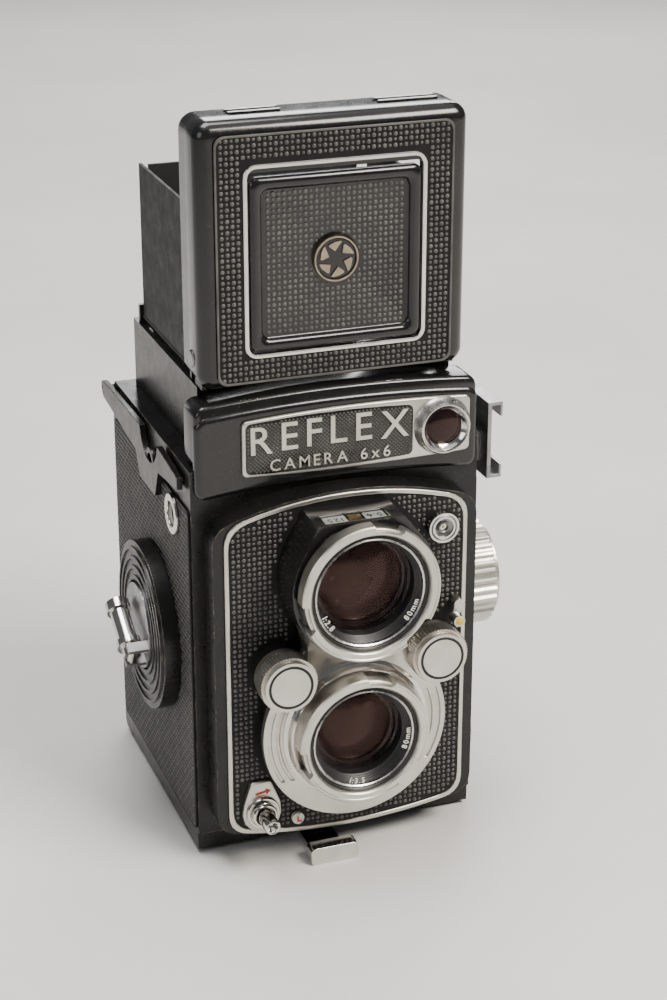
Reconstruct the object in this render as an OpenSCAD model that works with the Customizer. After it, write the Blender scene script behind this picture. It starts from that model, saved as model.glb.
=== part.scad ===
/* [Body] */
// Width of the cast body without its side coverings
body_w = 75.6; // [70:0.2:80]
// Distance from the lens plane axis to the front face of the body
body_front = 34; // [33:0.5:36]
// Distance from the lens plane axis to the outer face of the film door
body_rear = 40; // [39:0.5:42]
// Height of the top deck above the floor
deck_z = 107; // [106:0.5:108]
// Thickness of the side coverings
cover_t = 0.5; // [0.3:0.1:0.8]
// Thickness of the rear wall of the film door
door_t = 1.6; // [1.4:0.1:2]
// Height of the parting line between the casting and the door floor
split_z = 6.2; // [6:0.1:7]

/* [Lenses] */
// Height of the taking lens axis
taking_z = 37.7; // [37:0.1:38.5]
// Distance between the taking and viewing axes
lens_gap = 42; // [41:0.5:43]
// Outer radius of the taking lens bayonet ring
taking_ring_r = 17.2; // [16.5:0.1:17.5]
// Outer radius of the viewing lens bayonet ring
viewing_ring_r = 17.9; // [17:0.1:18.2]
// Radius of the round part of the faceplate
faceplate_r = 24.5; // [24:0.1:25]
// Travel of the front standard
focus_travel = 7; // [6:0.5:7]
// Turn of the focus knob over that travel, in degrees
focus_turn = 240; // [200:10:270]
// Radius of the focus knob
focus_knob_r = 14.5; // [13:0.5:15]

/* [Film] */
// Height and width of the picture opening
gate_size = 56; // [54:1:56]
// Distance from the lens plane axis to the film
film_y = 31; // [30:0.5:32]
// Flange radius of a roll film spool
spool_r = 12.5; // [12:0.1:12.6]
// Core radius of a roll film spool
core_r = 6; // [5:0.5:7]

/* [Winding] */
// Teeth on the crank gear
crank_teeth = 42; // [36:1:48]
// Teeth on the take-up gear
take_up_teeth = 15; // [13:1:18]
// Radius of the round crank plate
crank_plate_r = 22.5; // [20:0.5:23]
// Length of the folding crank grip
grip_len = 17.5; // [15:0.5:19]

/* [Hood] */
// Height of the open lid above its lower edge
lid_h = 65.2; // [60:0.2:68]
// Half the width of the lid
lid_half = 34.2; // [33.8:0.1:34.6]
// Depth of the lid tray
lid_depth = 14; // [12:0.5:15]
// Height of the side and rear panels
panel_h = 41; // [36:1:42]
// Half the side of the square finder flap
flap_half = 21.8; // [20:0.2:23]

/* [Base] */
// Radius of the tripod thread wall
tripod_r = 3.175; // [3.175:0.1:4.8]
// Depth of the tripod thread
tripod_len = 5; // [4.5:0.5:6]
// Radius of the door latch dial
latch_r = 12; // [10:0.5:13]

/* [Hidden] */
$fn = 96;
half = body_w / 2;
side_x = half + cover_t;
front_y = -body_front;
rear_y = body_rear - door_t;
viewing_z = taking_z + lens_gap;
panel_y = -42.1;
board_y = -41.6;
board_t = 0.8;
nose_y = -40.7;
skirt_y = -34.1;
trim_half = 32;
arch_z = 99.9;
arch_drop = 3.4;
arch_at = 25.3;
foot_z = 6.4;
foot_rise = 2.2;
gate_z0 = taking_z - gate_size / 2;
gate_z1 = taking_z + gate_size / 2;
gate_half = gate_size / 2;
chamber_half = 33.1;
chamber_r = spool_r + 0.25;
supply_y = -18.5;
supply_z = 15;
take_up_y = 25.5;
take_up_z = 80;
mirror_t = 1.4;
mirror_rise = 76;
crank_y = -0.9;
crank_z = 52.3;
gear_gap = norm([take_up_y - crank_y, take_up_z - crank_z]);
gear_pitch_r = gear_gap * crank_teeth / (crank_teeth + take_up_teeth);
pinion_pitch_r = gear_gap * take_up_teeth / (crank_teeth + take_up_teeth);
gear_module = 2 * gear_gap / (crank_teeth + take_up_teeth);
gear_in = -34.5;
gear_out = -36.9;
cave_in = -34.2;
cave_out = -37.2;
focus_y = -11.8;
focus_z = 59.4;
cam_low = 8;
cam_in = 34.5;
cam_out = 36.9;
roller_y = 31.8;
roller_r = 1.6;
roller_top_z = 66.9;
roller_low_z = 8.4;
hinge_y = 42.3;
hinge_z = 103;
housing_y = -36.2;
housing_back = -26;
housing_half = 36.7;
housing_top = 125.8;
cell_x = 26.7;
cell_z = 112.3;
base_half = 33;
base_rear = 33;
base_front = -25.8;
lid_z = 126.3;
lid_y = -33.1;
lid_pin_y = -26.1;
lid_pin_z = 133.2;
flap_z0 = 135.2;
flap_z1 = flap_z0 + 2 * flap_half;
flap_pin_y = lid_y + 0.55;
flap_pin_z = flap_z1 - 1;
lens_pin_y = -29;
lens_pin_z = 161;
side_hinge = 31;
side_front = -18.5;
side_rear = 27.6;
left_hinge_z = 127.4;
right_hinge_z = 129.2;
back_hinge_z = 126.4;
back_half = 28.6;
back_hinge_y = 29.4;
dial_r = 7.5;
left_dial = [-19, 55.2];
right_dial = [21, 56.5];
plate_front = -48.2;
plate_back = -46;
run_gap = 0.05;
knob_low = [supply_y, supply_z];
knob_high = [take_up_y, take_up_z];

function arc_points(cx, cy, r, a0, a1, n) =
    [for (i = [0:n]) [cx + r * cos(a0 + (a1 - a0) * i / n), cy + r * sin(a0 + (a1 - a0) * i / n)]];

function rounded(x0, y0, x1, y1, r, n = 6) = concat(
    arc_points(x1 - r, y1 - r, r, 0, 90, n),
    arc_points(x0 + r, y1 - r, r, 90, 180, n),
    arc_points(x0 + r, y0 + r, r, 180, 270, n),
    arc_points(x1 - r, y0 + r, r, 270, 360, n));

function bend(p, q, r, n) =
    [for (i = [0:n]) let (t = i / n) p * (1 - t) * (1 - t) + q * 2 * t * (1 - t) + r * t * t];

function arch_top(x, e) = arch_z + e - arch_drop * pow(x / arch_at, 2);

function arch_low(x, e) = foot_z - e + foot_rise * pow(x / arch_at, 2);

function panel_points(ex, ez, n = 12) =
    let (w = trim_half + ex, c = w - 5)
    concat(
        [for (i = [0:n]) let (x = c - 2 * c * i / n) [x, arch_top(x, ez)]],
        bend([-c, arch_top(c, ez)], [-w, arch_top(w, ez)], [-w, arch_top(w, ez) - 5], 5),
        bend([-w, arch_low(w, ez) + 5], [-w, arch_low(w, ez)], [-c, arch_low(c, ez)], 5),
        [for (i = [1:n - 1]) let (x = -c + 2 * c * i / n) [x, arch_low(x, ez)]],
        bend([c, arch_low(c, ez)], [w, arch_low(w, ez)], [w, arch_low(w, ez) + 5], 5),
        bend([w, arch_top(w, ez) - 5], [w, arch_top(w, ez)], [c, arch_top(c, ez)], 5));

function band_points(x0, x1, low, high, sag, bow, c = 1.2, n = 10) = concat(
    [for (i = [0:n]) let (t = i / n) [x0 + c + (x1 - x0 - 2 * c) * t, low - sag * 4 * t * (1 - t)]],
    [[x1, low + c], [x1, high - c]],
    [for (i = [0:n]) let (t = 1 - i / n)
        [x0 + c + (x1 - x0 - 2 * c) * t, high + bow * 4 * t * (1 - t)]],
    [[x0, high - c], [x0, low + c]]);

function gear_points(teeth, pitch_r, m, turn) = [
    for (i = [0:teeth - 1])
    for (k = [0:3])
    let (step = 360 / teeth,
        a = turn + i * step + [-0.30, -0.11, 0.11, 0.30][k] * step,
        r = (k == 0 || k == 3) ? pitch_r - 1.05 * m : pitch_r + 0.8 * m)
    [r * cos(a), r * sin(a)]];

function cam_radius(a) =
    a < 0 ? cam_low :
    a < focus_turn ? cam_low + focus_travel * a / focus_turn :
    a < focus_turn + 15 ? cam_low + focus_travel :
    cam_low + focus_travel * (335 - a) / (335 - focus_turn - 15);

module slab_x(x0, x1) {
    rotate([90, 0, 90]) translate([0, 0, x0]) linear_extrude(x1 - x0) children();
}

module slab_y(y0, y1) {
    rotate([90, 0, 0]) translate([0, 0, -y1]) linear_extrude(y1 - y0) children();
}

module slab_z(z0, z1) {
    translate([0, 0, z0]) linear_extrude(z1 - z0) children();
}

module rod_x(x0, x1, r, y, z) {
    translate([x0, y, z]) rotate([0, 90, 0]) cylinder(h = x1 - x0, r = r);
}

module rod_y(y0, y1, r, x, z) {
    translate([x, y1, z]) rotate([90, 0, 0]) cylinder(h = y1 - y0, r = r);
}

module cone_y(y0, y1, r0, r1, x, z) {
    translate([x, y0, z]) rotate([-90, 0, 0]) cylinder(h = y1 - y0, r1 = r0, r2 = r1);
}

module block(a, b) {
    translate(a) cube(b - a);
}

module tube_y(y0, y1, r_out, r_in, x, z) {
    difference() {
        rod_y(y0, y1, r_out, x, z);
        rod_y(y0 - 1, y1 + 1, r_in, x, z);
    }
}

module viewing_room() {
    slab_x(-29, 29) polygon([[-33, 60.5], [-13.5, 60.5], [30.6, 104.6], [30.6, deck_z + 1],
        [-24.2, deck_z + 1], [-24.2, 101], [-33, 96]]);
}

module taking_room() {
    slab_x(-gate_half, gate_half) polygon(concat(
        [[-33, 22]],
        arc_points(supply_y, supply_z, chamber_r + 0.8, 150, 0, 6),
        [[supply_y + chamber_r + 1, gate_z0], [film_y + 10, gate_z0], [film_y + 10, gate_z1],
        [film_y - 8, 63.5], [-33, 51.5]]));
}

module spool_rooms() {
    rod_x(-chamber_half, chamber_half, chamber_r, supply_y, supply_z);
    block([-chamber_half, supply_y - chamber_r, 0], [chamber_half, supply_y + chamber_r, supply_z]);
    rod_x(-chamber_half, chamber_half, chamber_r, take_up_y, take_up_z);
    block([-chamber_half, take_up_y, take_up_z - chamber_r],
        [chamber_half, body_rear, take_up_z + chamber_r]);
}

module film_path() {
    block([-chamber_half, film_y, 0], [chamber_half, body_rear, take_up_z]);
    block([-chamber_half, supply_y, 0], [chamber_half, body_rear, split_z + 1.4]);
    rod_x(-chamber_half, chamber_half, roller_r + 0.6, roller_y, roller_top_z);
    rod_x(-chamber_half, chamber_half, roller_r + 0.6, roller_y, roller_low_z);
}

module gear_cave() {
    rod_x(cave_out, cave_in, gear_pitch_r + gear_module + 0.4, crank_y, crank_z);
    rod_x(cave_out, cave_in, pinion_pitch_r + gear_module + 0.4, take_up_y, take_up_z);
    rod_x(-half - 1, cave_out + 1, 3 + run_gap, crank_y, crank_z);
    rod_x(cave_in - 1, -chamber_half + 1, 2 + run_gap, take_up_y, take_up_z);
}

module cam_cave() {
    rod_x(cave_in * -1, cave_out * -1, cam_low + focus_travel + 1, focus_y, focus_z);
    rod_x(cam_out - 1, half + 1, 3 + run_gap, focus_y, focus_z);
    block([33.2, front_y - 10, focus_z - 1.9], [37.2, focus_y - cam_low, focus_z + 1.9]);
}

module body_casting() {
    color([0.05, 0.05, 0.055])
    difference() {
        union() {
            slab_x(-half, half) polygon([[front_y, split_z], [rear_y, split_z],
                [rear_y, deck_z - 1.5], [rear_y - 1.5, deck_z], [front_y, deck_z]]);
            slab_y(nose_y, front_y + 1) polygon(panel_points(1.3, -1));
        }
        viewing_room();
        taking_room();
        spool_rooms();
        film_path();
        gear_cave();
        cam_cave();
        rod_y(nose_y - 1, front_y + 4, 16.2, 0, taking_z);
        rod_y(nose_y - 1, front_y + 4, 17, 0, viewing_z);
        for (k = [knob_low, knob_high]) {
            rod_x(chamber_half - 1, half + 1, 2 + run_gap, k[0], k[1]);
        }
        for (z = [roller_low_z, roller_top_z]) {
            rod_x(-34.6, 34.6, 0.8 + run_gap, roller_y, z);
        }
        rod_x(-half - 1, -35.6, 5.4, -20.2, 91);
        rod_x(-36, -34.4, 0.8 + run_gap, -20.2, 91);
    }
}

module side_covers() {
    color([0.07, 0.07, 0.075])
    difference() {
        for (s = [-1, 1]) {
            slab_x(min(s * half, s * side_x), max(s * half, s * side_x))
                polygon(rounded(-33.2, 7, 38, 96.5, 2));
        }
        rod_x(-side_x - 1, -half + 1, 3 + run_gap, crank_y, crank_z);
        rod_x(half - 1, side_x + 1, 3 + run_gap, focus_y, focus_z);
        rod_x(-side_x - 1, -half + 1, 5.4, -20.2, 91);
        for (k = [knob_low, knob_high]) {
            rod_x(half - 1, side_x + 1, 2 + run_gap, k[0], k[1]);
        }
    }
}

module mirror() {
    color([0.8, 0.82, 0.84])
    slab_x(-28.4, 28.4) polygon([[-12.2, mirror_rise - 12.2], [28.2, mirror_rise + 28.2],
        [29.2, mirror_rise + 27.2], [-11.2, mirror_rise - 13.2]]);
}

module focusing_screen() {
    color([0.75, 0.78, 0.76, 0.6])
    block([-30.6, -24.1, deck_z], [30.6, 31.4, deck_z + 2.2]);
}

module meter_housing() {
    color([0.02, 0.02, 0.02])
    difference() {
        union() {
            slab_y(housing_y, front_y - 0.1)
                polygon(concat(
                    [for (i = [0:8]) let (x = -housing_half + 2 * housing_half * i / 8)
                        [x, 101 - 2 * pow(x / housing_half, 2)]],
                    [for (i = [0:8]) let (x = housing_half - 2 * housing_half * i / 8)
                        [x, housing_top - 1.6 * pow(x / housing_half, 2)]]));
            slab_y(front_y - 0.1, housing_back)
                polygon(concat(
                    [[-housing_half, deck_z], [housing_half, deck_z]],
                    [for (i = [0:8]) let (x = housing_half - 2 * housing_half * i / 8)
                        [x, housing_top - 1.6 * pow(x / housing_half, 2)]]));
        }
        block([-35.2, -34.8, deck_z + 1.2], [35.2, housing_back - 1.2, 122.4]);
        block([-9, -35.2, 122], [17, -33.5, housing_top + 1]);
        block([-25, -35.2, 122], [-18, -33.5, housing_top + 1]);
        rod_y(housing_y - 1, -34, 3.6, cell_x, cell_z);
    }
}

module nameplate() {
    color([0.75, 0.75, 0.76])
    difference() {
        union() {
            slab_y(housing_y - 0.9, housing_y)
                polygon(band_points(-25.3, 34.3, 105, 119.3, 0.7, 1.1));
            cone_y(housing_y - 3.8, housing_y - 0.9, 6.3, 7.2, cell_x, cell_z);
        }
        slab_y(housing_y - 1.4, housing_y - 0.5)
            polygon(band_points(-24.5, 18.9, 105.7, 118.7, 0.6, 0.9));
        rod_y(housing_y - 5, housing_y + 1, 4.4, cell_x, cell_z);
        cone_y(housing_y - 3.9, housing_y - 1.6, 5.8, 4.3, cell_x, cell_z);
    }
}

module meter_cell() {
    color([0.35, 0.2, 0.16])
    union() {
        rod_y(housing_y - 1.5, housing_y - 0.6, 4.3, cell_x, cell_z);
        rod_y(housing_y - 0.7, -34.9, 3.5, cell_x, cell_z);
    }
}

module housing_glass() {
    color([0.6, 0.65, 0.66, 0.4])
    union() {
        block([-8.9, -35.1, 124.2], [16.9, -33.6, 124.9]);
        block([-24.9, -35.1, 123.6], [-18.1, -33.6, 124.4]);
    }
}

module meter_needle() {
    color([0.75, 0.15, 0.1])
    union() {
        translate([4, -29, 119.4]) cylinder(h = 1.4, r = 1.5);
        block([3.8, -34.4, 119.8], [4.2, -28.9, 120.4]);
    }
}

module hood_base() {
    color([0.04, 0.04, 0.045])
    difference() {
        union() {
            difference() {
                block([-base_half, base_front, deck_z], [base_half, base_rear, 125.6]);
                block([-31.2, -24.2, deck_z - 1], [31.2, 31.5, 126]);
            }
            for (s = [-1, 1]) {
                block([s * 32.1 - 0.6, -29, 125.8], [s * 32.1 + 0.6, -23.4, 135.4]);
                block([s * 31.7 - 1, -25.6, 122], [s * 31.7 + 1, -23.4, 127.4]);
                for (y = [side_front - 1.5, side_rear + 0.2]) {
                    block([s * 31.3 - 1.3, y, 122], [s * 31.3 + 1.3, y + 1.3, 130.6]);
                }
                block([s * 30 - 1.1, 28.5, 122], [s * 30 + 1.1, 32, 127.2]);
            }
        }
        rod_x(-36, 36, 1 + run_gap, lid_pin_y, lid_pin_z);
        for (y = [side_front - 1.5, side_rear + 0.2]) {
            rod_y(y, y + 1.3, 0.6 + run_gap, -side_hinge, left_hinge_z);
            rod_y(y, y + 1.3, 0.6 + run_gap, side_hinge, right_hinge_z);
        }
        rod_x(-29.8, 29.8, 0.6 + run_gap, back_hinge_y, back_hinge_z);
    }
}

module lug_outline() {
    difference() {
        polygon([[-29.5, 104.2], [-29.5, 101], [-12, 99], [-8.5, 91.5], [6, 91.5], [9.5, 97.5],
            [40.5, 100.6], [42.6, 100.6], [44.6, 103], [44.2, 105], [42.2, 105.4], [38, 105.6],
            [14, 106], [-12, 106]]);
        translate([-3.5, 107.5]) circle(r = 8.4);
        translate([hinge_y, hinge_z]) circle(r = 1.25 + run_gap);
    }
}

module strap_lugs() {
    color([0.45, 0.45, 0.46])
    for (s = [-1, 1]) {
        slab_x(s > 0 ? side_x : -side_x - 1.5, s > 0 ? side_x + 1.5 : -side_x) lug_outline();
        difference() {
            rod_x(s > 0 ? side_x : -side_x - 1.3, s > 0 ? side_x + 1.3 : -side_x, 3.6, -3.5, 99);
            rod_x(-42, 42, 2.2, -3.5, 99);
        }
    }
}

module accessory_shoe() {
    color([0.78, 0.78, 0.79])
    union() {
        block([side_x + 1.5, -29, 98], [40.8, -19, 105.5]);
        block([40.6, -34, 94.8], [41.7, -16, 115.2]);
        for (z = [94.8, 114.3]) {
            block([41.5, -34, z], [44.6, -16, z + 0.9]);
        }
        block([43.9, -34, 95], [44.6, -16, 98.6]);
        block([43.9, -34, 111.4], [44.6, -16, 115]);
    }
}

module counter_window() {
    color([0.7, 0.7, 0.72])
    difference() {
        rod_x(-side_x - 0.9, -side_x + 0.6, 5.3, -20.2, 91);
        rod_x(-side_x - 2, -side_x + 2, 3.3, -20.2, 91);
    }
}

module counter_dial() {
    color([0.9, 0.9, 0.88])
    union() {
        rod_x(-37.2, -36, 5, -20.2, 91);
        rod_x(-36.2, -34.8, 0.8, -20.2, 91);
    }
}

module crank_plate() {
    color([0.05, 0.05, 0.055])
    difference() {
        union() {
            rod_x(-42.6, -side_x, crank_plate_r, crank_y, crank_z);
            rod_x(-43.2, -42.6, crank_plate_r - 1.6, crank_y, crank_z);
        }
        for (r = [20, 17.4, 14.8]) {
            difference() {
                rod_x(-44, -42.7, r, crank_y, crank_z);
                rod_x(-44.5, -42.2, r - 1.5, crank_y, crank_z);
            }
        }
        rod_x(-44, -42, 12, crank_y, crank_z);
        rod_x(-44, -side_x + 1, 3 + run_gap, crank_y, crank_z);
    }
}

module grip_frame() {
    translate([0, crank_y, crank_z]) rotate([30, 0, 0]) children();
}

module crank_arm() {
    color([0.3, 0.3, 0.31])
    union() {
        rod_x(-43.6, -42.2, 11.4, crank_y, crank_z);
        rod_x(-42.4, gear_out, 3, crank_y, crank_z);
        grip_frame() {
            for (z = [-3.6, 2.4]) {
                block([-49, -10.4, z], [-43.5, -7.6, z + 1.2]);
            }
        }
    }
}

module crank_gear() {
    color([0.7, 0.58, 0.3])
    slab_x(gear_out, gear_in) translate([crank_y, crank_z])
        polygon(gear_points(crank_teeth, gear_pitch_r, gear_module,
            atan2(take_up_z - crank_z, take_up_y - crank_y)));
}

module crank_handle() {
    color([0.82, 0.82, 0.83])
    grip_frame() {
        translate([-47.4, 0, 0]) union() {
            translate([0, -9.4, 0]) rotate([-90, 0, 0]) cylinder(h = 3, r = 2.2);
            translate([0, -6.6, 0]) rotate([-90, 0, 0]) cylinder(h = 12.2, r = 2.6);
            translate([0, -6.5, 0]) rotate([-90, 0, 0]) cylinder(h = 1.9, r = 3.3);
            translate([0, 4.9, 0]) rotate([-90, 0, 0]) cylinder(h = 2.8, r = 3.3);
        }
        translate([-47.4, -9, -2.2]) cylinder(h = 4.4, r = 1.3);
    }
}

module take_up_gear() {
    color([0.7, 0.58, 0.3])
    union() {
        slab_x(gear_out, gear_in) translate([take_up_y, take_up_z])
            polygon(gear_points(take_up_teeth, pinion_pitch_r, gear_module,
                180 + atan2(take_up_z - crank_z, take_up_y - crank_y) + 180 / take_up_teeth));
        rod_x(gear_in - 0.1, -32.8, 2, take_up_y, take_up_z);
    }
}

module take_up_spool() {
    color([0.12, 0.12, 0.13])
    difference() {
        union() {
            rod_x(-32.8, 32.8, core_r, take_up_y, take_up_z);
            rod_x(-32.8, -31.8, spool_r, take_up_y, take_up_z);
            rod_x(31.8, 32.8, spool_r, take_up_y, take_up_z);
        }
        rod_x(29, 34, 2 + 2 * run_gap, take_up_y, take_up_z);
        block([-22, take_up_y - 0.8, take_up_z - 8], [22, take_up_y + 0.8, take_up_z + 8]);
    }
}

module spool_knob(k) {
    color([0.6, 0.6, 0.61])
    union() {
        rod_x(side_x + 0.2, 41.6, 6.4, k[0], k[1]);
        rod_x(41.6, 43, 5.2, k[0], k[1]);
        rod_x(31.2, 39, 2, k[0], k[1]);
    }
}

module spool_knob_upper() {
    spool_knob(knob_high);
}

module spool_knob_lower() {
    spool_knob(knob_low);
}

module film_roller(z) {
    color([0.7, 0.7, 0.72])
    union() {
        rod_x(-32.6, 32.6, roller_r, roller_y, z);
        rod_x(-34.4, 34.4, 0.8, roller_y, z);
    }
}

module film_roller_upper() {
    film_roller(roller_top_z);
}

module film_roller_lower() {
    film_roller(roller_low_z);
}

module focus_knob() {
    color([0.8, 0.8, 0.8])
    difference() {
        union() {
            rod_x(side_x + 0.2, 40.4, focus_knob_r + 0.6, focus_y, focus_z);
            slab_x(40.4, 48.4) translate([focus_y, focus_z])
                polygon([for (i = [0:143]) let (a = i * 2.5, r = focus_knob_r - (i % 4 < 2 ? 0 : 0.6))
                    [r * cos(a), r * sin(a)]]);
            rod_x(48.4, 49.6, focus_knob_r - 1.6, focus_y, focus_z);
        }
        rod_x(48.8, 50, 11, focus_y, focus_z);
        rod_x(38, 49, 3, focus_y, focus_z);
    }
}

module focus_cam() {
    color([0.7, 0.58, 0.3])
    union() {
        slab_x(cam_in, cam_out) translate([focus_y, focus_z])
            polygon([for (i = [0:71]) let (a = -20 + i * 5) let (r = cam_radius(a))
                [r * cos(180 + a), r * sin(180 + a)]]);
        rod_x(cam_out, 48.6, 3, focus_y, focus_z);
    }
}

module back_door() {
    color([0.05, 0.05, 0.055])
    difference() {
        union() {
            difference() {
                slab_x(-half, half) polygon([[-33, 1.2], [38.5, 1.2], [body_rear, 2.7],
                    [body_rear, 100.6], [rear_y + 0.1, 100.6], [rear_y + 0.1, split_z - 0.1],
                    [-33, split_z - 0.1]]);
                slab_x(-34, 34) polygon([[-31.5, 2.6], [36.5, 2.6], [36.5, 7], [-31.5, 7]]);
                translate([0, 0, -1]) cylinder(h = 3.6, r = latch_r + 0.2);
                block([-10.6, -40, 0], [-1.2, -8, 1.7]);
            }
            translate([0, 0, 2.6]) cylinder(h = 1.2, r = latch_r + 2.4);
            cylinder(h = split_z - 0.4, r = 5.5);
            slab_x(-36, 36) polygon([[39.2, 98], [41.2, 98], [44, 101.6], [44.2, 103.6],
                [42.6, 104.6], [41, 104.2], [40.2, 100.8], [39.2, 100.5]]);
            rod_x(-39.7, 39.7, 1.25, hinge_y, hinge_z);
        }
        translate([0, 0, -1]) cylinder(h = tripod_len + 1, r = tripod_r);
    }
}

module door_cover() {
    color([0.07, 0.07, 0.075])
    slab_y(body_rear, body_rear + cover_t) polygon(rounded(-36, 5, 36, 97, 2));
}

module door_feet() {
    color([0.8, 0.8, 0.81])
    union() {
        for (x = [-30, 30]) {
            for (y = [-24, 32]) {
                translate([x, y, 0]) cylinder(h = 1.2, r = 3);
            }
        }
        slab_y(-49, -45) polygon(rounded(-12.2, 0, 0.8, 4.8, 1.3));
        block([-10.4, -46, 0], [-1.4, -12.8, 1.6]);
    }
}

module pressure_plate() {
    color([0.15, 0.15, 0.16])
    union() {
        block([-31, film_y + 0.5, 11], [31, film_y + 1.6, 64]);
        for (z = [24, 51]) {
            rod_y(film_y + 1.6, rear_y - 1.2, 1.6, 0, z);
        }
    }
}

module latch_dial() {
    color([0.6, 0.6, 0.61])
    difference() {
        cylinder(h = 2.4, r = latch_r);
        translate([0, 0, -1]) cylinder(h = 4, r = 5.5 + run_gap);
        for (s = [-1, 1]) {
            block([s * 8.6 - 0.7, -4.5, -1], [s * 8.6 + 0.7, 4.5, 1.2]);
        }
    }
}

module latch_hook() {
    color([0.6, 0.6, 0.61])
    union() {
        block([-4, -27, 2.9], [4, -17.6, 4.1]);
        block([-4, -31, 2.9], [4, -27, 5.8]);
    }
}

module lens_board() {
    color([0.03, 0.03, 0.035])
    difference() {
        union() {
            slab_y(board_y, skirt_y) polygon(panel_points(2.8, 0.5));
            block([33.6, skirt_y, focus_z - 1.6], [34.8, -33.9, focus_z + 1.6]);
            block([33.6, -33.9, focus_z - 1.6], [36.8, focus_y - cam_low - 0.45, focus_z + 1.6]);
        }
        slab_y(board_y + board_t, skirt_y + 0.5) polygon(panel_points(1.5, -0.8));
        block([30, skirt_y, focus_z - 3], [33.5, -15, focus_z + 3]);
        rod_y(-50, -30, 15.5, 0, taking_z);
        rod_y(-50, -30, 16.3, 0, viewing_z);
    }
}

module panel_cover() {
    color([0.06, 0.06, 0.065])
    difference() {
        slab_y(panel_y, board_y) polygon(panel_points(-1.3, -1.3));
        rod_y(-50, -30, 15.5, 0, taking_z);
        rod_y(-50, -30, 16.3, 0, viewing_z);
    }
}

module panel_trim() {
    color([0.75, 0.75, 0.74])
    difference() {
        slab_y(panel_y - 0.3, board_y) polygon(panel_points(0, 0));
        slab_y(panel_y - 1, board_y + 1) polygon(panel_points(-1.2, -1.2));
    }
}

module plate_outline(grow) {
    difference() {
        union() {
            translate([0, taking_z]) circle(r = faceplate_r + grow);
            translate([0, viewing_z]) circle(r = 17.2 + grow);
            polygon([[-15.4 - grow, viewing_z - 8], [-13.4 - grow, 62], [-17 - grow, 55],
                [-21.6 - grow, 47], [21.6 + grow, 47], [19 + grow, 56], [14.6 + grow, 63],
                [15.4 + grow, viewing_z - 8]]);
            translate(left_dial) circle(r = 7.1 + grow);
            translate(right_dial) circle(r = 7.1 + grow);
        }
        translate([0, taking_z]) circle(r = 15.6);
        translate([0, viewing_z]) circle(r = 16.1);
    }
}

module shutter_case() {
    color([0.03, 0.03, 0.03])
    difference() {
        slab_y(plate_back, panel_y) plate_outline(-0.5);
        for (d = [left_dial, right_dial]) {
            rod_y(plate_back - 1, plate_back + 2.4, 1.6 + run_gap, d[0], d[1]);
        }
        rod_y(-50, -40, 2.4, 28, 63);
    }
}

module faceplate() {
    color([0.72, 0.72, 0.72])
    difference() {
        slab_y(plate_front, plate_back) plate_outline(0);
        for (r = [23.2, 21]) {
            difference() {
                rod_y(plate_front - 1, plate_front + 0.5, r, 0, taking_z);
                rod_y(plate_front - 2, plate_front + 1, r - 0.8, 0, taking_z);
                block([-30, plate_front - 3, taking_z - 30], [30, plate_front + 2, taking_z - 12]);
                block([-30, plate_front - 3, taking_z + 8], [30, plate_front + 2, taking_z + 30]);
            }
        }
        for (d = [left_dial, right_dial]) {
            rod_y(plate_front - 1, plate_back + 1, 1.6 + run_gap, d[0], d[1]);
        }
        rod_y(-50, -40, 2.4, 28, 63);
    }
}

module viewing_surround() {
    color([0.03, 0.03, 0.03])
    difference() {
        union() {
            rod_y(-56.6, -54, 17.4, 0, viewing_z);
            slab_y(-54.8, panel_y) intersection() {
                hull() {
                    translate([0, viewing_z]) circle(r = 18.7);
                    polygon([[-12, 97.2], [10, 97.2], [9, 90], [-11, 90]]);
                }
                translate([-30, 60]) square([60, 37.2]);
            }
        }
        rod_y(-60, -40, 16.1, 0, viewing_z);
        block([-9.8, -53.6, 96.4], [6.7, -48.3, 98]);
        slab_y(plate_front, plate_back) plate_outline(0.05);
        slab_y(plate_back, panel_y) plate_outline(-0.45);
    }
}

module readout_glass() {
    color([0.5, 0.5, 0.52, 0.5])
    block([-9.7, -53.5, 96.45], [6.6, -48.4, 97.1]);
}

module bayonet_ring(y0, y1, r_out, r_in, z) {
    difference() {
        rod_y(y0, y1, r_out, 0, z);
        rod_y(y0 - 1, y1 + 1, r_in, 0, z);
        for (a = [20, 140, 260]) {
            translate([0, 0, z]) rotate([0, a, 0])
                block([r_out - 1.3, y0 - 1, -4], [r_out + 1, y0 + 1.6, 4]);
        }
    }
}

module bayonet_rings() {
    color([0.82, 0.82, 0.83])
    union() {
        bayonet_ring(-55.9, plate_front, taking_ring_r, 15.25, taking_z);
        bayonet_ring(-59.8, -56.6, viewing_ring_r, 15.95, viewing_z);
    }
}

module lens_barrel(y0, r_out, r_glass, z) {
    translate([0, 0, z]) rotate([90, 0, 0])
        rotate_extrude()
        polygon([[r_out - 2, 30], [r_out, 30], [r_out, -y0], [r_out - 0.8, -y0],
            [r_glass, -y0 - 3], [r_glass, -y0 - 8], [r_out - 2, -y0 - 8]]);
}

module lens_barrels() {
    color([0.02, 0.02, 0.02])
    union() {
        lens_barrel(-55.4, 15.2, 11.4, taking_z);
        lens_barrel(-59.2, 15.9, 12.6, viewing_z);
    }
}

module lens_glass(y0, r, bulge, thick, z) {
    translate([0, 0, z]) rotate([90, 0, 0])
        rotate_extrude()
        polygon(concat([[0, -y0 - thick], [r, -y0 - thick]],
            [for (i = [0:8]) let (x = r * (1 - i / 8)) [x, -y0 - bulge * pow(x / r, 2)]]));
}

module viewing_lens() {
    color([0.25, 0.2, 0.3, 0.5])
    union() {
        lens_glass(-55.6, 12.55, 2.2, 5, viewing_z);
        lens_glass(-44, 13.85, 1.6, 4, viewing_z);
    }
}

module taking_lens() {
    color([0.2, 0.2, 0.35, 0.5])
    union() {
        lens_glass(-52, 11.35, 2, 4.4, taking_z);
        lens_glass(-38, 13.15, 1.6, 4, taking_z);
    }
}

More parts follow.
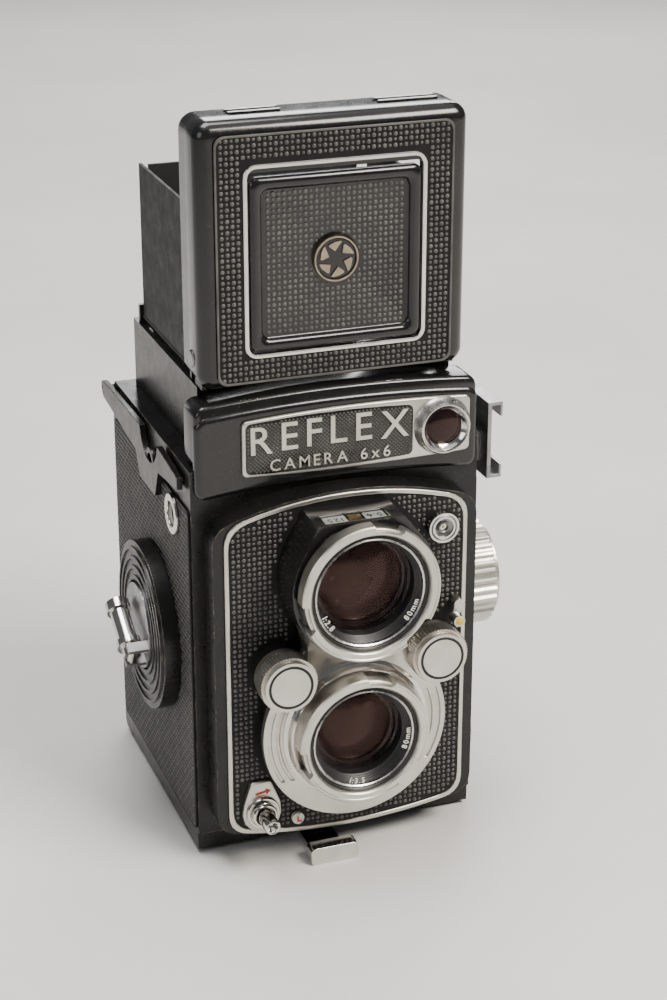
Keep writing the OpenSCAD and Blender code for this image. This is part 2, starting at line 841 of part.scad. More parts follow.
module shutter_blades() {
    color([0.1, 0.1, 0.1])
    rod_y(-44.4, -44, 13.2, 0, taking_z);
}

module sync_socket() {
    color([0.75, 0.75, 0.75])
    union() {
        tube_y(-44.6, panel_y, 4, 2.5, 24.8, 87.7);
        rod_y(-43.8, panel_y, 0.9, 24.8, 87.7);
    }
}

module dial(c) {
    difference() {
        union() {
            slab_y(-52.6, plate_front - 0.1) translate(c)
                polygon([for (i = [0:119]) let (r = dial_r - (i % 2 == 0 ? 0 : 0.35))
                    [r * cos(i * 3), r * sin(i * 3)]]);
            rod_y(-54, -52.6, 6.6, c[0], c[1]);
            rod_y(-49, plate_back + 2, 1.6, c[0], c[1]);
        }
        tube_y(-55, -53.5, 5.8, 5.1, c[0], c[1]);
    }
}

module speed_dial() {
    color([0.75, 0.75, 0.75]) dial(right_dial);
}

module aperture_dial() {
    color([0.75, 0.75, 0.75]) dial(left_dial);
}

module sync_lever() {
    color([0.85, 0.65, 0.1])
    union() {
        rod_y(-45.4, panel_y, 1.3, 29, 66.5);
        slab_y(-45.4, -44.6) polygon([[27.9, 66.8], [26.9, 63.2], [28.8, 62.2], [30.1, 66.2]]);
        rod_y(-48.2, -44.6, 1.5, 28, 63);
    }
}

module release_seat() {
    color([0.72, 0.72, 0.72])
    difference() {
        union() {
            slab_y(panel_y - 0.8, panel_y) polygon([[-28.4, 11.6], [-26.4, 21.6], [-23.6, 22.8],
                [-20.8, 21.6], [-18.8, 11.6], [-23.6, 9.6]]);
            rod_y(-46.6, panel_y - 0.8, 4.4, -23.6, 15.6);
        }
        rod_y(-50, -40, 2.4 + run_gap, -23.6, 15.6);
    }
}

module release_button() {
    color([0.82, 0.82, 0.83])
    union() {
        rod_y(-51.4, -44.5, 2.4, -23.6, 15.6);
        cone_y(-52.4, -51.4, 1.6, 2.4, -23.6, 15.6);
    }
}

module release_lock() {
    color([0.85, 0.85, 0.82])
    union() {
        rod_y(-43.4, panel_y - 0.1, 1.6, -13.8, 11.4);
        block([-14.1, -43.9, 10], [-13.5, -43.3, 12.8]);
    }
}

module hood_lid() {
    color([0.02, 0.02, 0.02])
    union() {
        difference() {
            slab_z(lid_z, lid_z + lid_h)
                polygon(concat([[-lid_half, lid_y + lid_depth], [-lid_half, lid_y + 3]],
                    arc_points(-lid_half + 3, lid_y + 3, 3, 180, 270, 6),
                    arc_points(lid_half - 3, lid_y + 3, 3, 270, 360, 6),
                    [[lid_half, lid_y + 3], [lid_half, lid_y + lid_depth]]));
            block([1.3 - lid_half, lid_y + 1.6, lid_z - 1],
                [lid_half - 1.3, lid_y + 30, lid_z + lid_h - 1.4]);
            slab_y(-40, -30) polygon(rounded(-flap_half - 0.2, flap_z0 - 0.2,
                flap_half + 0.2, flap_z1 + 0.2, 1.1));
            block([-lid_half - 1, -24.5, lid_z - 1], [lid_half + 1, -10, 127.2]);
            rod_x(-flap_half - 1, flap_half + 1, 0.5 + run_gap, flap_pin_y, flap_pin_z);
            for (x = [-21, -13.5, 17, 24.5]) {
                block([x - 2.6, -21.6, 180], [x + 2.6, -20.2, 200]);
            }
        }
        for (s = [-1, 1]) {
            rod_x(s > 0 ? 31.4 : -33.2, s > 0 ? 33.2 : -31.4, 1, lid_pin_y, lid_pin_z);
        }
    }
}

module lid_cover() {
    color([0.06, 0.06, 0.065])
    difference() {
        slab_y(lid_y - cover_t, lid_y) polygon(rounded(-29.9, 127.9, 29.9, 188.3, 2.6));
        slab_y(lid_y - 2, lid_y + 1) polygon(rounded(-23.1, 133.9, 23.1, 181.2, 3.2));
    }
}

module lid_trim() {
    color([0.8, 0.8, 0.8])
    difference() {
        slab_y(lid_y - 0.9, lid_y) polygon(rounded(-23.1, 133.9, 23.1, 181.2, 3.2));
        slab_y(lid_y - 2, lid_y + 1) polygon(rounded(-22, 134.95, 22, 180.1, 2.2));
    }
}

module finder_flap() {
    color([0.03, 0.03, 0.03])
    difference() {
        union() {
            slab_y(lid_y - 0.3, lid_y + 1.2) polygon(rounded(-flap_half + 0.1, flap_z0 + 0.1,
                flap_half - 0.1, flap_z1 - 0.3, 2.3));
            difference() {
                slab_y(lid_y - 1, lid_y) polygon(rounded(-flap_half + 0.3, flap_z0 + 0.3,
                    flap_half - 0.3, flap_z1 - 1.4, 2.2));
                slab_y(lid_y - 2, lid_y + 1) polygon(rounded(-18.6, flap_z0 + 3.4, 18.6,
                    flap_z1 - 4.5, 1.4));
            }
            rod_y(lid_y - 0.9, lid_y, 5.7, 0, (flap_z0 + flap_z1) / 2 - 0.6);
            rod_x(-flap_half - 0.8, flap_half + 0.8, 0.5, flap_pin_y, flap_pin_z);
            for (s = [-1, 1]) {
                block([s * 15 - 0.6, lid_y + 1, lens_pin_z - 2], [s * 15 + 0.6, -27.8, lens_pin_z + 2]);
            }
        }
        rod_x(-16, 16, 0.6 + run_gap, lens_pin_y, lens_pin_z);
    }
}

module magnifier() {
    color([0.3, 0.3, 0.31])
    difference() {
        union() {
            slab_y(-29.6, -28.4) polygon(rounded(-13.6, 136.6, 13.6, 160.8, 3));
            rod_y(-29.6, -26.4, 12, 0, 148.2);
            rod_x(-14, 14, 1.1, lens_pin_y, lens_pin_z);
            rod_x(-15.6, 15.6, 0.6, lens_pin_y, lens_pin_z);
        }
        rod_y(-31, -25, 10.4, 0, 148.2);
    }
}

module magnifier_lens() {
    color([0.7, 0.75, 0.8, 0.4])
    rod_y(-29.3, -27.2, 10.4, 0, 148.2);
}

module hood_back() {
    color([0.04, 0.04, 0.045])
    union() {
        block([-back_half, back_hinge_y - 0.2, back_hinge_z],
            [back_half, back_hinge_y + 0.6, back_hinge_z + panel_h]);
        rod_x(-back_half, back_half, 0.8, back_hinge_y, back_hinge_z);
        rod_x(-29.6, 29.6, 0.6, back_hinge_y, back_hinge_z);
    }
}

module hood_side_left() {
    color([0.04, 0.04, 0.045])
    union() {
        block([-side_hinge - 0.6, side_front, left_hinge_z],
            [-side_hinge + 0.2, side_rear, left_hinge_z + panel_h]);
        rod_y(side_front, side_rear, 0.8, -side_hinge, left_hinge_z);
        rod_y(side_front - 1.4, side_rear + 1.4, 0.6, -side_hinge, left_hinge_z);
    }
}

module hood_side_right() {
    color([0.04, 0.04, 0.045])
    union() {
        block([side_hinge - 0.2, side_front, right_hinge_z],
            [side_hinge + 0.6, side_rear, right_hinge_z + panel_h - 1.8]);
        rod_y(side_front, side_rear, 0.8, side_hinge, right_hinge_z);
        rod_y(side_front - 1.4, side_rear + 1.4, 0.6, side_hinge, right_hinge_z);
    }
}

body_casting();
side_covers();
mirror();
focusing_screen();
meter_housing();
nameplate();
meter_cell();
housing_glass();
meter_needle();
hood_base();
strap_lugs();
accessory_shoe();
counter_window();
counter_dial();
crank_plate();
crank_arm();
crank_gear();
crank_handle();
take_up_gear();
take_up_spool();
spool_knob_upper();
spool_knob_lower();
film_roller_upper();
film_roller_lower();
focus_knob();
focus_cam();
back_door();
door_cover();
door_feet();
pressure_plate();
latch_dial();
latch_hook();
lens_board();
panel_cover();
panel_trim();
shutter_case();
faceplate();
viewing_surround();
bayonet_rings();
lens_barrels();
viewing_lens();
taking_lens();
shutter_blades();
readout_glass();
sync_socket();
speed_dial();
aperture_dial();
sync_lever();
release_seat();
release_button();
release_lock();
hood_lid();
lid_cover();
lid_trim();
finder_flap();
magnifier();
magnifier_lens();
hood_back();
hood_side_left();
hood_side_right();
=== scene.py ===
import math

import bpy
import bmesh
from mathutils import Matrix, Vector


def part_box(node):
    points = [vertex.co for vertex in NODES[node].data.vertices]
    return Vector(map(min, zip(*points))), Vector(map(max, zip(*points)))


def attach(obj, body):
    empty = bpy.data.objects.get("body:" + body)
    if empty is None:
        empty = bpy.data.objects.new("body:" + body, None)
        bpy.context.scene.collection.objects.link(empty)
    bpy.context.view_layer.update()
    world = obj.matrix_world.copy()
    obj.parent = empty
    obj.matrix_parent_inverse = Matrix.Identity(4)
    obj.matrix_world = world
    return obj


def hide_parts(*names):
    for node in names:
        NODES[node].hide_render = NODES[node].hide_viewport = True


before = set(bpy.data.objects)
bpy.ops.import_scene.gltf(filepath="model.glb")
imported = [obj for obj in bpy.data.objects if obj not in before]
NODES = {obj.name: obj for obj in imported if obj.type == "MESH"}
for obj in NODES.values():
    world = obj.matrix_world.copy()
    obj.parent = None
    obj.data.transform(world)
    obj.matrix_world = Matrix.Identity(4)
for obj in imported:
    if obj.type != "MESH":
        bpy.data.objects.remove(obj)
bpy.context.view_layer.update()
MM = 0.001

# ---- camera, floor and light


CAMERA_AT = Vector((-171.73, -507.31, 303.67)) * MM
CAMERA_AIM = Vector((3.66, -21.62, 89.29)) * MM
FOCAL_LENGTH = 78.85


def look_at(thing, aim):
    """Turns a camera or lamp so that it faces a point."""
    thing.rotation_mode = "QUATERNION"
    thing.rotation_quaternion = (aim - thing.location).to_track_quat("-Z", "Y")


def make_camera():
    """The camera fitted to the photograph's viewing angle."""
    data = bpy.data.cameras.new("photo_camera")
    data.sensor_width = 36.0
    data.lens = FOCAL_LENGTH
    data.clip_start = 0.01
    data.clip_end = 20.0
    cam = bpy.data.objects.new("photo_camera", data)
    bpy.context.collection.objects.link(cam)
    cam.location = CAMERA_AT
    look_at(cam, CAMERA_AIM)
    bpy.context.scene.camera = cam


def area_light(name, place, aim, size, power, colour):
    """A soft rectangular lamp; place, aim and size are in metres, power in watts."""
    data = bpy.data.lights.new(name, "AREA")
    data.shape = "RECTANGLE"
    data.size, data.size_y = size
    data.energy = power
    data.color = colour
    lamp = bpy.data.objects.new(name, data)
    bpy.context.collection.objects.link(lamp)
    lamp.location = Vector(place)
    look_at(lamp, Vector(aim))


def make_studio():
    """Soft studio light: warm key from the right, weak fill, and light from above and behind."""
    area_light("key", (0.55, -0.70, 1.05), (0, 0, 0.09), (0.6, 0.45), 27, (1.0, 0.94, 0.86))
    area_light("fill", (-1.1, -0.5, 0.6), (0, 0, 0.09), (0.6, 0.6), 3, (0.95, 0.97, 1.0))
    area_light("top", (-0.1, 0.15, 1.2), (0, 0, 0.1), (0.7, 0.5), 12, (1.0, 0.98, 0.95))
    area_light("wash", (0.0, 0.0, 4.0), (0, 0, 0), (4.5, 4.5), 55, (1.0, 0.99, 0.97))
    area_light("rear", (0.5, 1.1, 0.7), (0, 0, 0.1), (0.6, 0.6), 8, (1.0, 1.0, 1.0))
    world = bpy.data.worlds.new("studio")
    bpy.context.scene.world = world
    world.use_nodes = True
    back = world.node_tree.nodes["Background"]
    back.inputs["Color"].default_value = (0.80, 0.82, 0.85, 1)
    back.inputs["Strength"].default_value = 0.17


# ---- materials

SOCKETS = {
    "coat": "Coat Weight",
    "coat_rough": "Coat Roughness",
    "ior": "IOR",
    "transmission": "Transmission Weight",
    "sheen": "Sheen Weight",
    "aniso": "Anisotropic",
    "specular": "Specular IOR Level",
}


def add(tree, kind, **values):
    """A new shader node with the given properties."""
    made = tree.nodes.new(kind)
    for key, value in values.items():
        setattr(made, key, value)
    return made


def noise(tree, coord, scale, detail=3.0, rough=0.5, stretch=None):
    """Noise from 0 to 1, stretched along an axis where stretch is given."""
    source = coord
    if stretch:
        mapping = add(tree, "ShaderNodeMapping")
        mapping.inputs["Scale"].default_value = stretch
        tree.links.new(coord, mapping.inputs["Vector"])
        source = mapping.outputs["Vector"]
    made = add(tree, "ShaderNodeTexNoise")
    made.inputs["Scale"].default_value = scale
    made.inputs["Detail"].default_value = detail
    made.inputs["Roughness"].default_value = rough
    tree.links.new(source, made.inputs["Vector"])
    return made.outputs["Fac"]


def spread(tree, value, low, high, to_low, to_high):
    """Maps a value from one range to another, and holds it at the ends."""
    made = add(tree, "ShaderNodeMapRange", clamp=True)
    made.inputs["From Min"].default_value = low
    made.inputs["From Max"].default_value = high
    made.inputs["To Min"].default_value = to_low
    made.inputs["To Max"].default_value = to_high
    tree.links.new(value, made.inputs["Value"])
    return made.outputs["Result"]


def blend_colour(tree, factor, first, second):
    """Mixes two colours, each given as a tuple or as a socket."""
    made = add(tree, "ShaderNodeMix", data_type="RGBA")
    tree.links.new(factor, made.inputs["Factor"])
    socket_a, socket_b, result = made.inputs[6], made.inputs[7], made.outputs[2]
    for socket, value in ((socket_a, first), (socket_b, second)):
        if isinstance(value, tuple):
            socket.default_value = (*value, 1.0)
        else:
            tree.links.new(value, socket)
    return result


def edge_mask(tree, coord, radius, breakup):
    """A broken mask along the sharp edges, where the finish has worn off."""
    bevel = add(tree, "ShaderNodeBevel", samples=4)
    bevel.inputs["Radius"].default_value = radius
    normal = add(tree, "ShaderNodeNewGeometry")
    dot = add(tree, "ShaderNodeVectorMath", operation="DOT_PRODUCT")
    tree.links.new(bevel.outputs["Normal"], dot.inputs[0])
    tree.links.new(normal.outputs["Normal"], dot.inputs[1])
    edge = spread(tree, dot.outputs["Value"], 0.985, 0.90, 0.0, 1.0)
    patch = spread(tree, noise(tree, coord, breakup, 4.0, 0.6), 0.50, 0.62, 0.0, 1.0)
    product = add(tree, "ShaderNodeMath", operation="MULTIPLY")
    tree.links.new(edge, product.inputs[0])
    tree.links.new(patch, product.inputs[1])
    return product.outputs["Value"]


M = {}


def surface(name, light, dark, rough, metal=0.0, cloud=90.0, grain=2500.0, bump=0.05,
            depth=0.00005, wear=None, stretch=None, dust=0.0, **sockets):
    """A procedural finish: mottled colour, uneven gloss, fine relief and worn edges."""
    made = bpy.data.materials.new(name)
    made.use_nodes = True
    tree = made.node_tree
    shader = tree.nodes["Principled BSDF"]
    coord = add(tree, "ShaderNodeTexCoord").outputs["Object"]
    cloudy = spread(tree, noise(tree, coord, cloud, 5.0, 0.6, stretch), 0.35, 0.65, 0.0, 1.0)
    colour = blend_colour(tree, cloudy, dark, light)
    smear = noise(tree, coord, cloud * 2.7, 6.0, 0.65, stretch)
    gloss = spread(tree, smear, 0.3, 0.7, rough[0], rough[1])
    if dust:
        speck = spread(tree, noise(tree, coord, 1400.0, 2.0, 0.5), 0.66, 0.72, 0.0, dust)
        colour = blend_colour(tree, speck, colour, DUST)
    if wear:
        radius, breakup, bare = wear
        colour = blend_colour(tree, edge_mask(tree, coord, radius, breakup), colour, bare)
    tree.links.new(colour, shader.inputs["Base Color"])
    tree.links.new(gloss, shader.inputs["Roughness"])
    shader.inputs["Metallic"].default_value = metal
    relief = add(tree, "ShaderNodeBump")
    relief.inputs["Strength"].default_value = bump
    relief.inputs["Distance"].default_value = depth
    tree.links.new(noise(tree, coord, grain, 3.0, 0.55, stretch), relief.inputs["Height"])
    tree.links.new(relief.outputs["Normal"], shader.inputs["Normal"])
    for key, value in sockets.items():
        shader.inputs[SOCKETS[key]].default_value = value
    M[name] = made


BRASSY = (0.23, 0.19, 0.13)
GREYED = (0.16, 0.155, 0.145)
DUST = (0.10, 0.10, 0.095)
surface("black_enamel", (0.011, 0.011, 0.011), (0.006, 0.006, 0.006), (0.24, 0.36), bump=0.08,
        wear=(0.0003, 260.0, BRASSY), dust=0.2, specular=0.35)
surface("black_gloss", (0.009, 0.009, 0.009), (0.005, 0.005, 0.005), (0.16, 0.26), bump=0.03,
        coat=0.25, coat_rough=0.10, wear=(0.0003, 240.0, GREYED), dust=0.15, specular=0.4)
surface("black_matt", (0.013, 0.013, 0.013), (0.007, 0.007, 0.007), (0.55, 0.75), bump=0.2,
        grain=3200.0)
# Black leather ground, partly its own black and partly deepened as painted shade between the
# lighter grains.
surface("leatherette", (0.010, 0.010, 0.0095), (0.004, 0.004, 0.004), (0.45, 0.6), grain=5200.0,
        bump=0.35, depth=0.00004, specular=0.25)
# The grains are the same black leather as the ground, coloured about ten times lighter as painted
# highlight on their tops. The lid piping and the nameplate studs share this colour.
surface("pebble_painted_highlight", (0.105, 0.100, 0.093), (0.055, 0.053, 0.050), (0.30, 0.45), cloud=160.0,
        grain=5200.0, bump=0.30, depth=0.00003)
surface("chrome", (0.72, 0.70, 0.67), (0.61, 0.595, 0.57), (0.08, 0.18), 1.0, cloud=140.0,
        bump=0.03, wear=(0.0003, 300.0, (0.5, 0.42, 0.28)))
surface("satin_silver", (0.62, 0.595, 0.55), (0.53, 0.51, 0.47), (0.28, 0.40), 1.0, cloud=110.0,
        grain=6000.0, bump=0.16, depth=0.00002, wear=(0.0003, 300.0, (0.42, 0.34, 0.22)))
surface("spun_silver", (0.74, 0.73, 0.71), (0.62, 0.61, 0.59), (0.22, 0.34), 1.0, cloud=150.0,
        grain=7000.0, bump=0.12, depth=0.00002, aniso=0.4)
surface("grey_metal", (0.36, 0.36, 0.36), (0.24, 0.24, 0.24), (0.30, 0.45), 1.0, cloud=200.0,
        grain=3600.0, bump=0.15)
surface("bronze", (0.42, 0.35, 0.27), (0.30, 0.25, 0.19), (0.25, 0.38), 1.0, cloud=260.0,
        grain=4200.0, bump=0.12, wear=(0.0002, 300.0, GREYED))
surface("brass", (0.62, 0.44, 0.18), (0.50, 0.34, 0.13), (0.22, 0.36), 1.0, cloud=180.0,
        grain=4200.0, bump=0.1)
surface("mirror_glass", (0.90, 0.91, 0.92), (0.86, 0.87, 0.88), (0.015, 0.04), 1.0, cloud=40.0,
        bump=0.01)
surface("ground_glass", (0.70, 0.73, 0.70), (0.62, 0.65, 0.62), (0.35, 0.5), cloud=60.0,
        grain=9000.0, bump=0.3, depth=0.00002, transmission=0.55, ior=1.5)
surface("clear_glass", (0.93, 0.95, 0.95), (0.86, 0.89, 0.89), (0.01, 0.05), cloud=50.0,
        bump=0.01, transmission=1.0, ior=1.49)
# Opaque near-black glass with a coated face: the dark inside seen through a lens, partly its own
# black and partly painted shade.
surface("opaque_glass_painted_shade", (0.016, 0.010, 0.010), (0.007, 0.005, 0.006), (0.01, 0.03), cloud=60.0,
        bump=0.005, coat=0.3, coat_rough=0.015, specular=0.22)
surface("coated_glass", (0.80, 0.74, 0.74), (0.72, 0.68, 0.70), (0.0, 0.02), cloud=35.0, bump=0.0,
        transmission=1.0, ior=1.22)
surface("cell", (0.030, 0.018, 0.014), (0.012, 0.009, 0.008), (0.08, 0.2), cloud=420.0, bump=0.1,
        coat=0.9, coat_rough=0.03)
surface("red_paint", (0.55, 0.05, 0.03), (0.42, 0.03, 0.02), (0.3, 0.45), cloud=300.0, bump=0.1)
surface("white_dial", (0.80, 0.79, 0.74), (0.70, 0.69, 0.64), (0.35, 0.5), cloud=260.0, bump=0.1)
surface("black_plastic", (0.014, 0.014, 0.015), (0.009, 0.009, 0.009), (0.35, 0.5), bump=0.15,
        grain=3000.0)
surface("yellow_tip", (0.80, 0.55, 0.04), (0.66, 0.43, 0.03), (0.25, 0.4), cloud=300.0, bump=0.08)
surface("floor", (0.66, 0.65, 0.63), (0.60, 0.59, 0.575), (0.6, 0.75), cloud=5.0, grain=700.0,
        bump=0.12, depth=0.0002)
for glass in ("coated_glass", "opaque_glass_painted_shade"):
    glass_inputs = M[glass].node_tree.nodes["Principled BSDF"].inputs
    glass_inputs["Coat Tint"].default_value = (1.0, 0.62, 0.50, 1)
    glass_inputs["Specular Tint"].default_value = (1.0, 0.60, 0.50, 1)

# ---- mesh helpers


def build(name, verts, faces, material, body, soft=38.0):
    """A piece from points in millimetres, with edges sharper than soft kept crisp."""
    mesh = bpy.data.meshes.new(name)
    mesh.from_pydata([(x * MM, y * MM, z * MM) for x, y, z in verts], [], faces)
    work = bmesh.new()
    work.from_mesh(mesh)
    bmesh.ops.remove_doubles(work, verts=work.verts, dist=1e-7)
    bmesh.ops.recalc_face_normals(work, faces=work.faces)
    limit = math.radians(soft)
    for face in work.faces:
        face.smooth = True
    for edge in work.edges:
        if len(edge.link_faces) == 2 and edge.calc_face_angle(0.0) > limit:
            edge.smooth = False
    work.to_mesh(mesh)
    work.free()
    piece = bpy.data.objects.new(name, mesh)
    bpy.context.collection.objects.link(piece)
    mesh.materials.append(M[material])
    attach(piece, body)
    return piece


def ring_faces(count, size, wrap_rings=False, cap=(False, False), wrap_points=True):
    """Faces between count rings of size points; each wrap joins the last to the first."""
    faces = []
    for i in range(count if wrap_rings else count - 1):
        a, b = i * size, ((i + 1) % count) * size
        for j in range(size if wrap_points else size - 1):
            k = (j + 1) % size
            faces.append((a + j, a + k, b + k, b + j))
    if cap[0]:
        faces.append(tuple(reversed(range(size))))
    if cap[1]:
        faces.append(tuple(range((count - 1) * size, count * size)))
    return faces


def prism_faces(base, count):
    """Faces of a prism whose two outlines of count points follow each other from base."""
    faces = [tuple(range(base, base + count)), tuple(range(base + count, base + 2 * count))]
    for k in range(count):
        m = (k + 1) % count
        faces.append((base + k, base + m, base + count + m, base + count + k))
    return faces


def loft(name, rings, material, body, closed=True, cap=(False, False), soft=38.0):
    """A skin over rings of equal length, the last joined to the first where closed."""
    verts = [p for ring in rings for p in ring]
    faces = ring_faces(len(rings), len(rings[0]), closed, cap)
    return build(name, verts, faces, material, body, soft)


def slab(name, rings, material, body, soft=38.0):
    """A solid over rings from one end to the other, with both ends filled."""
    return loft(name, rings, material, body, False, (True, True), soft)


def raised(outline, *levels):
    """Copies of an outline of (x, z) points, one at each y."""
    return [[(x, y, z) for x, z in outline] for y in levels]


def stacked(outline, *levels):
    """Copies of an outline of (x, y) points, one at each z."""
    return [[(x, y, z) for x, y in outline] for z in levels]


def rounded(x0, z0, x1, z1, r, steps=6):
    """Outline of a rectangle with round corners of radius r."""
    points = []
    corners = ((x1 - r, z1 - r, 0), (x0 + r, z1 - r, 90), (x0 + r, z0 + r, 180),
               (x1 - r, z0 + r, 270))
    for cx, cz, start in corners:
        for i in range(steps + 1):
            a = math.radians(start + 90.0 * i / steps)
            points.append((cx + r * math.cos(a), cz + r * math.sin(a)))
    return points


def lathe(name, centre, profile, material, body, turns=96, closed=True, soft=38.0):
    """A piece turned about an axis along Y; profile is (radius, y) or a function of angle."""
    rings = []
    for i in range(turns):
        a = 2 * math.pi * i / turns
        points = profile(math.degrees(a)) if callable(profile) else profile
        rings.append([(centre[0] + r * math.cos(a), y, centre[1] + r * math.sin(a))
                      for r, y in points])
    verts = [p for ring in rings for p in ring]
    faces = ring_faces(turns, len(rings[0]), True, wrap_points=closed)
    return build(name, verts, faces, material, body, soft)


def turned_x(name, centre, profile, material, body, turns=72, closed=True):
    """A piece turned about an axis along X; centre is (y, z), profile is (radius, x)."""
    made = lathe(name, centre, profile, material, body, turns, closed)
    for v in made.data.vertices:
        v.co = (v.co.y, v.co.x, v.co.z)
    made.data.flip_normals()
    made.data.update()
    return made


def dress(node, material, bevel=0.0, segments=2, limit=35.0):
    """Gives a CAD node its finish, and rounds its edges with modifiers."""
    shown = NODES[node]
    shown.data.materials.clear()
    shown.data.materials.append(M[material])
    weld = shown.modifiers.new("weld", "WELD")
    weld.merge_threshold = 1e-6
    if bevel:
        edges = shown.modifiers.new("edges", "BEVEL")
        edges.width = bevel * MM
        edges.segments = segments
        edges.limit_method = "ANGLE"
        edges.angle_limit = math.radians(limit)
        edges.miter_outer = "MITER_ARC"
        even = shown.modifiers.new("even", "WEIGHTED_NORMAL")
        even.keep_sharp = True


# ---- outlines shared with the CAD

TRIM_HALF, ARCH_Z, ARCH_DROP, ARCH_AT = 32.0, 99.9, 3.4, 25.3
FOOT_Z, FOOT_RISE = 6.4, 2.2
TAKING = (0.0, 37.7)
VIEWING = (0.0, 79.7)
LEFT_DIAL = (-19.0, 55.2)
RIGHT_DIAL = (21.0, 56.5)
RELEASE = (-23.6, 15.6)
CELL = (26.7, 112.3)
HOUSING_FRONT = -36.2

# places on the two sides, as (y, z)
CRANK_AXIS = (-0.9, 52.3)
COUNTER_AXIS = (-20.2, 91.0)
FOCUS_AXIS = (-11.8, 59.4)
SPOOL_AXES = {"upper": (25.5, 80.0), "lower": (-18.5, 15.0)}


def arch_top(x, grow):
    """Height of the panel's upper edge, moved out by grow."""
    return ARCH_Z + grow - ARCH_DROP * (x / ARCH_AT) ** 2


def arch_low(x, grow):
    """Height of the panel's lower edge, moved out by grow."""
    return FOOT_Z - grow + FOOT_RISE * (x / ARCH_AT) ** 2


def in_panel(x, z, inset):
    """Whether a point is on the front panel, at least inset from its round-cornered edge."""
    w, corner = TRIM_HALF - inset, 4
    if abs(x) > w:
        return False
    if not arch_low(x, -inset) < z < arch_top(x, -inset):
        return False
    for edge, sign in ((arch_top(w - corner, -inset), -1), (arch_low(w - corner, -inset), 1)):
        dx, dz = abs(x) - (w - corner), (z - (edge + sign * corner)) * -sign
        if dx > 0 and dz > 0 and math.hypot(dx, dz) > corner:
            return False
    return True


# ---- pebbled coverings, the grains painted lighter as highlight

PITCH = 1.35
LARGE_GRAIN, SMALL_GRAIN = 0.53, 0.37


def pebbles(name, body, place, test, u_span, v_span, sides=8, height=0.28):
    """Rows of raised grains, large and small in turn, on a covering, coloured lighter than the
    covering as painted highlight.
    """
    verts, faces = [], []
    columns = int((u_span[1] - u_span[0]) / PITCH)
    rows = int((v_span[1] - v_span[0]) / PITCH)
    u_start = (u_span[0] + u_span[1] - columns * PITCH) / 2
    v_start = (v_span[0] + v_span[1] - rows * PITCH) / 2
    for i in range(columns):
        for j in range(rows):
            u, v = u_start + (i + 0.5) * PITCH, v_start + (j + 0.5) * PITCH
            large = (i + j) % 2 == 0
            reach = LARGE_GRAIN if large else SMALL_GRAIN
            if not test(u, v, reach):
                continue
            tall = height * (1.0 if large else 0.7)
            wobble = 0.04 * math.sin(i * 12.9898 + j * 78.233)
            base = len(verts)
            levels = ((1.0, -0.02), (0.86, 0.62), (0.48, 1.0))
            if sides < 8:
                levels = ((1.0, -0.02), (0.66, 1.0))
            for share, rise in levels:
                for k in range(sides):
                    a = 2 * math.pi * (k + 0.5) / sides
                    square = reach / max(abs(math.cos(a)), abs(math.sin(a))) ** 0.45
                    verts.append(place(u + wobble + square * share * math.cos(a),
                                       v - wobble + square * share * math.sin(a),
                                       tall * rise))
            for step in range(len(levels) - 1):
                for k in range(sides):
                    n = (k + 1) % sides
                    a = base + step * sides
                    faces.append((a + k, a + n, a + n + sides, a + k + sides))
            top = base + (len(levels) - 1) * sides
            faces.append(tuple(range(top, top + sides)))
    # The grains take the lighter grain colour: painted highlight.
    return build(name, verts, faces, "pebble_painted_highlight", body, 80.0)


def clear_of(x, z, circles, gap):
    """Whether a point keeps the gap to every circle, each given as (x, z, radius)."""
    return all(math.hypot(x - cx, z - cz) > r + gap for cx, cz, r in circles)


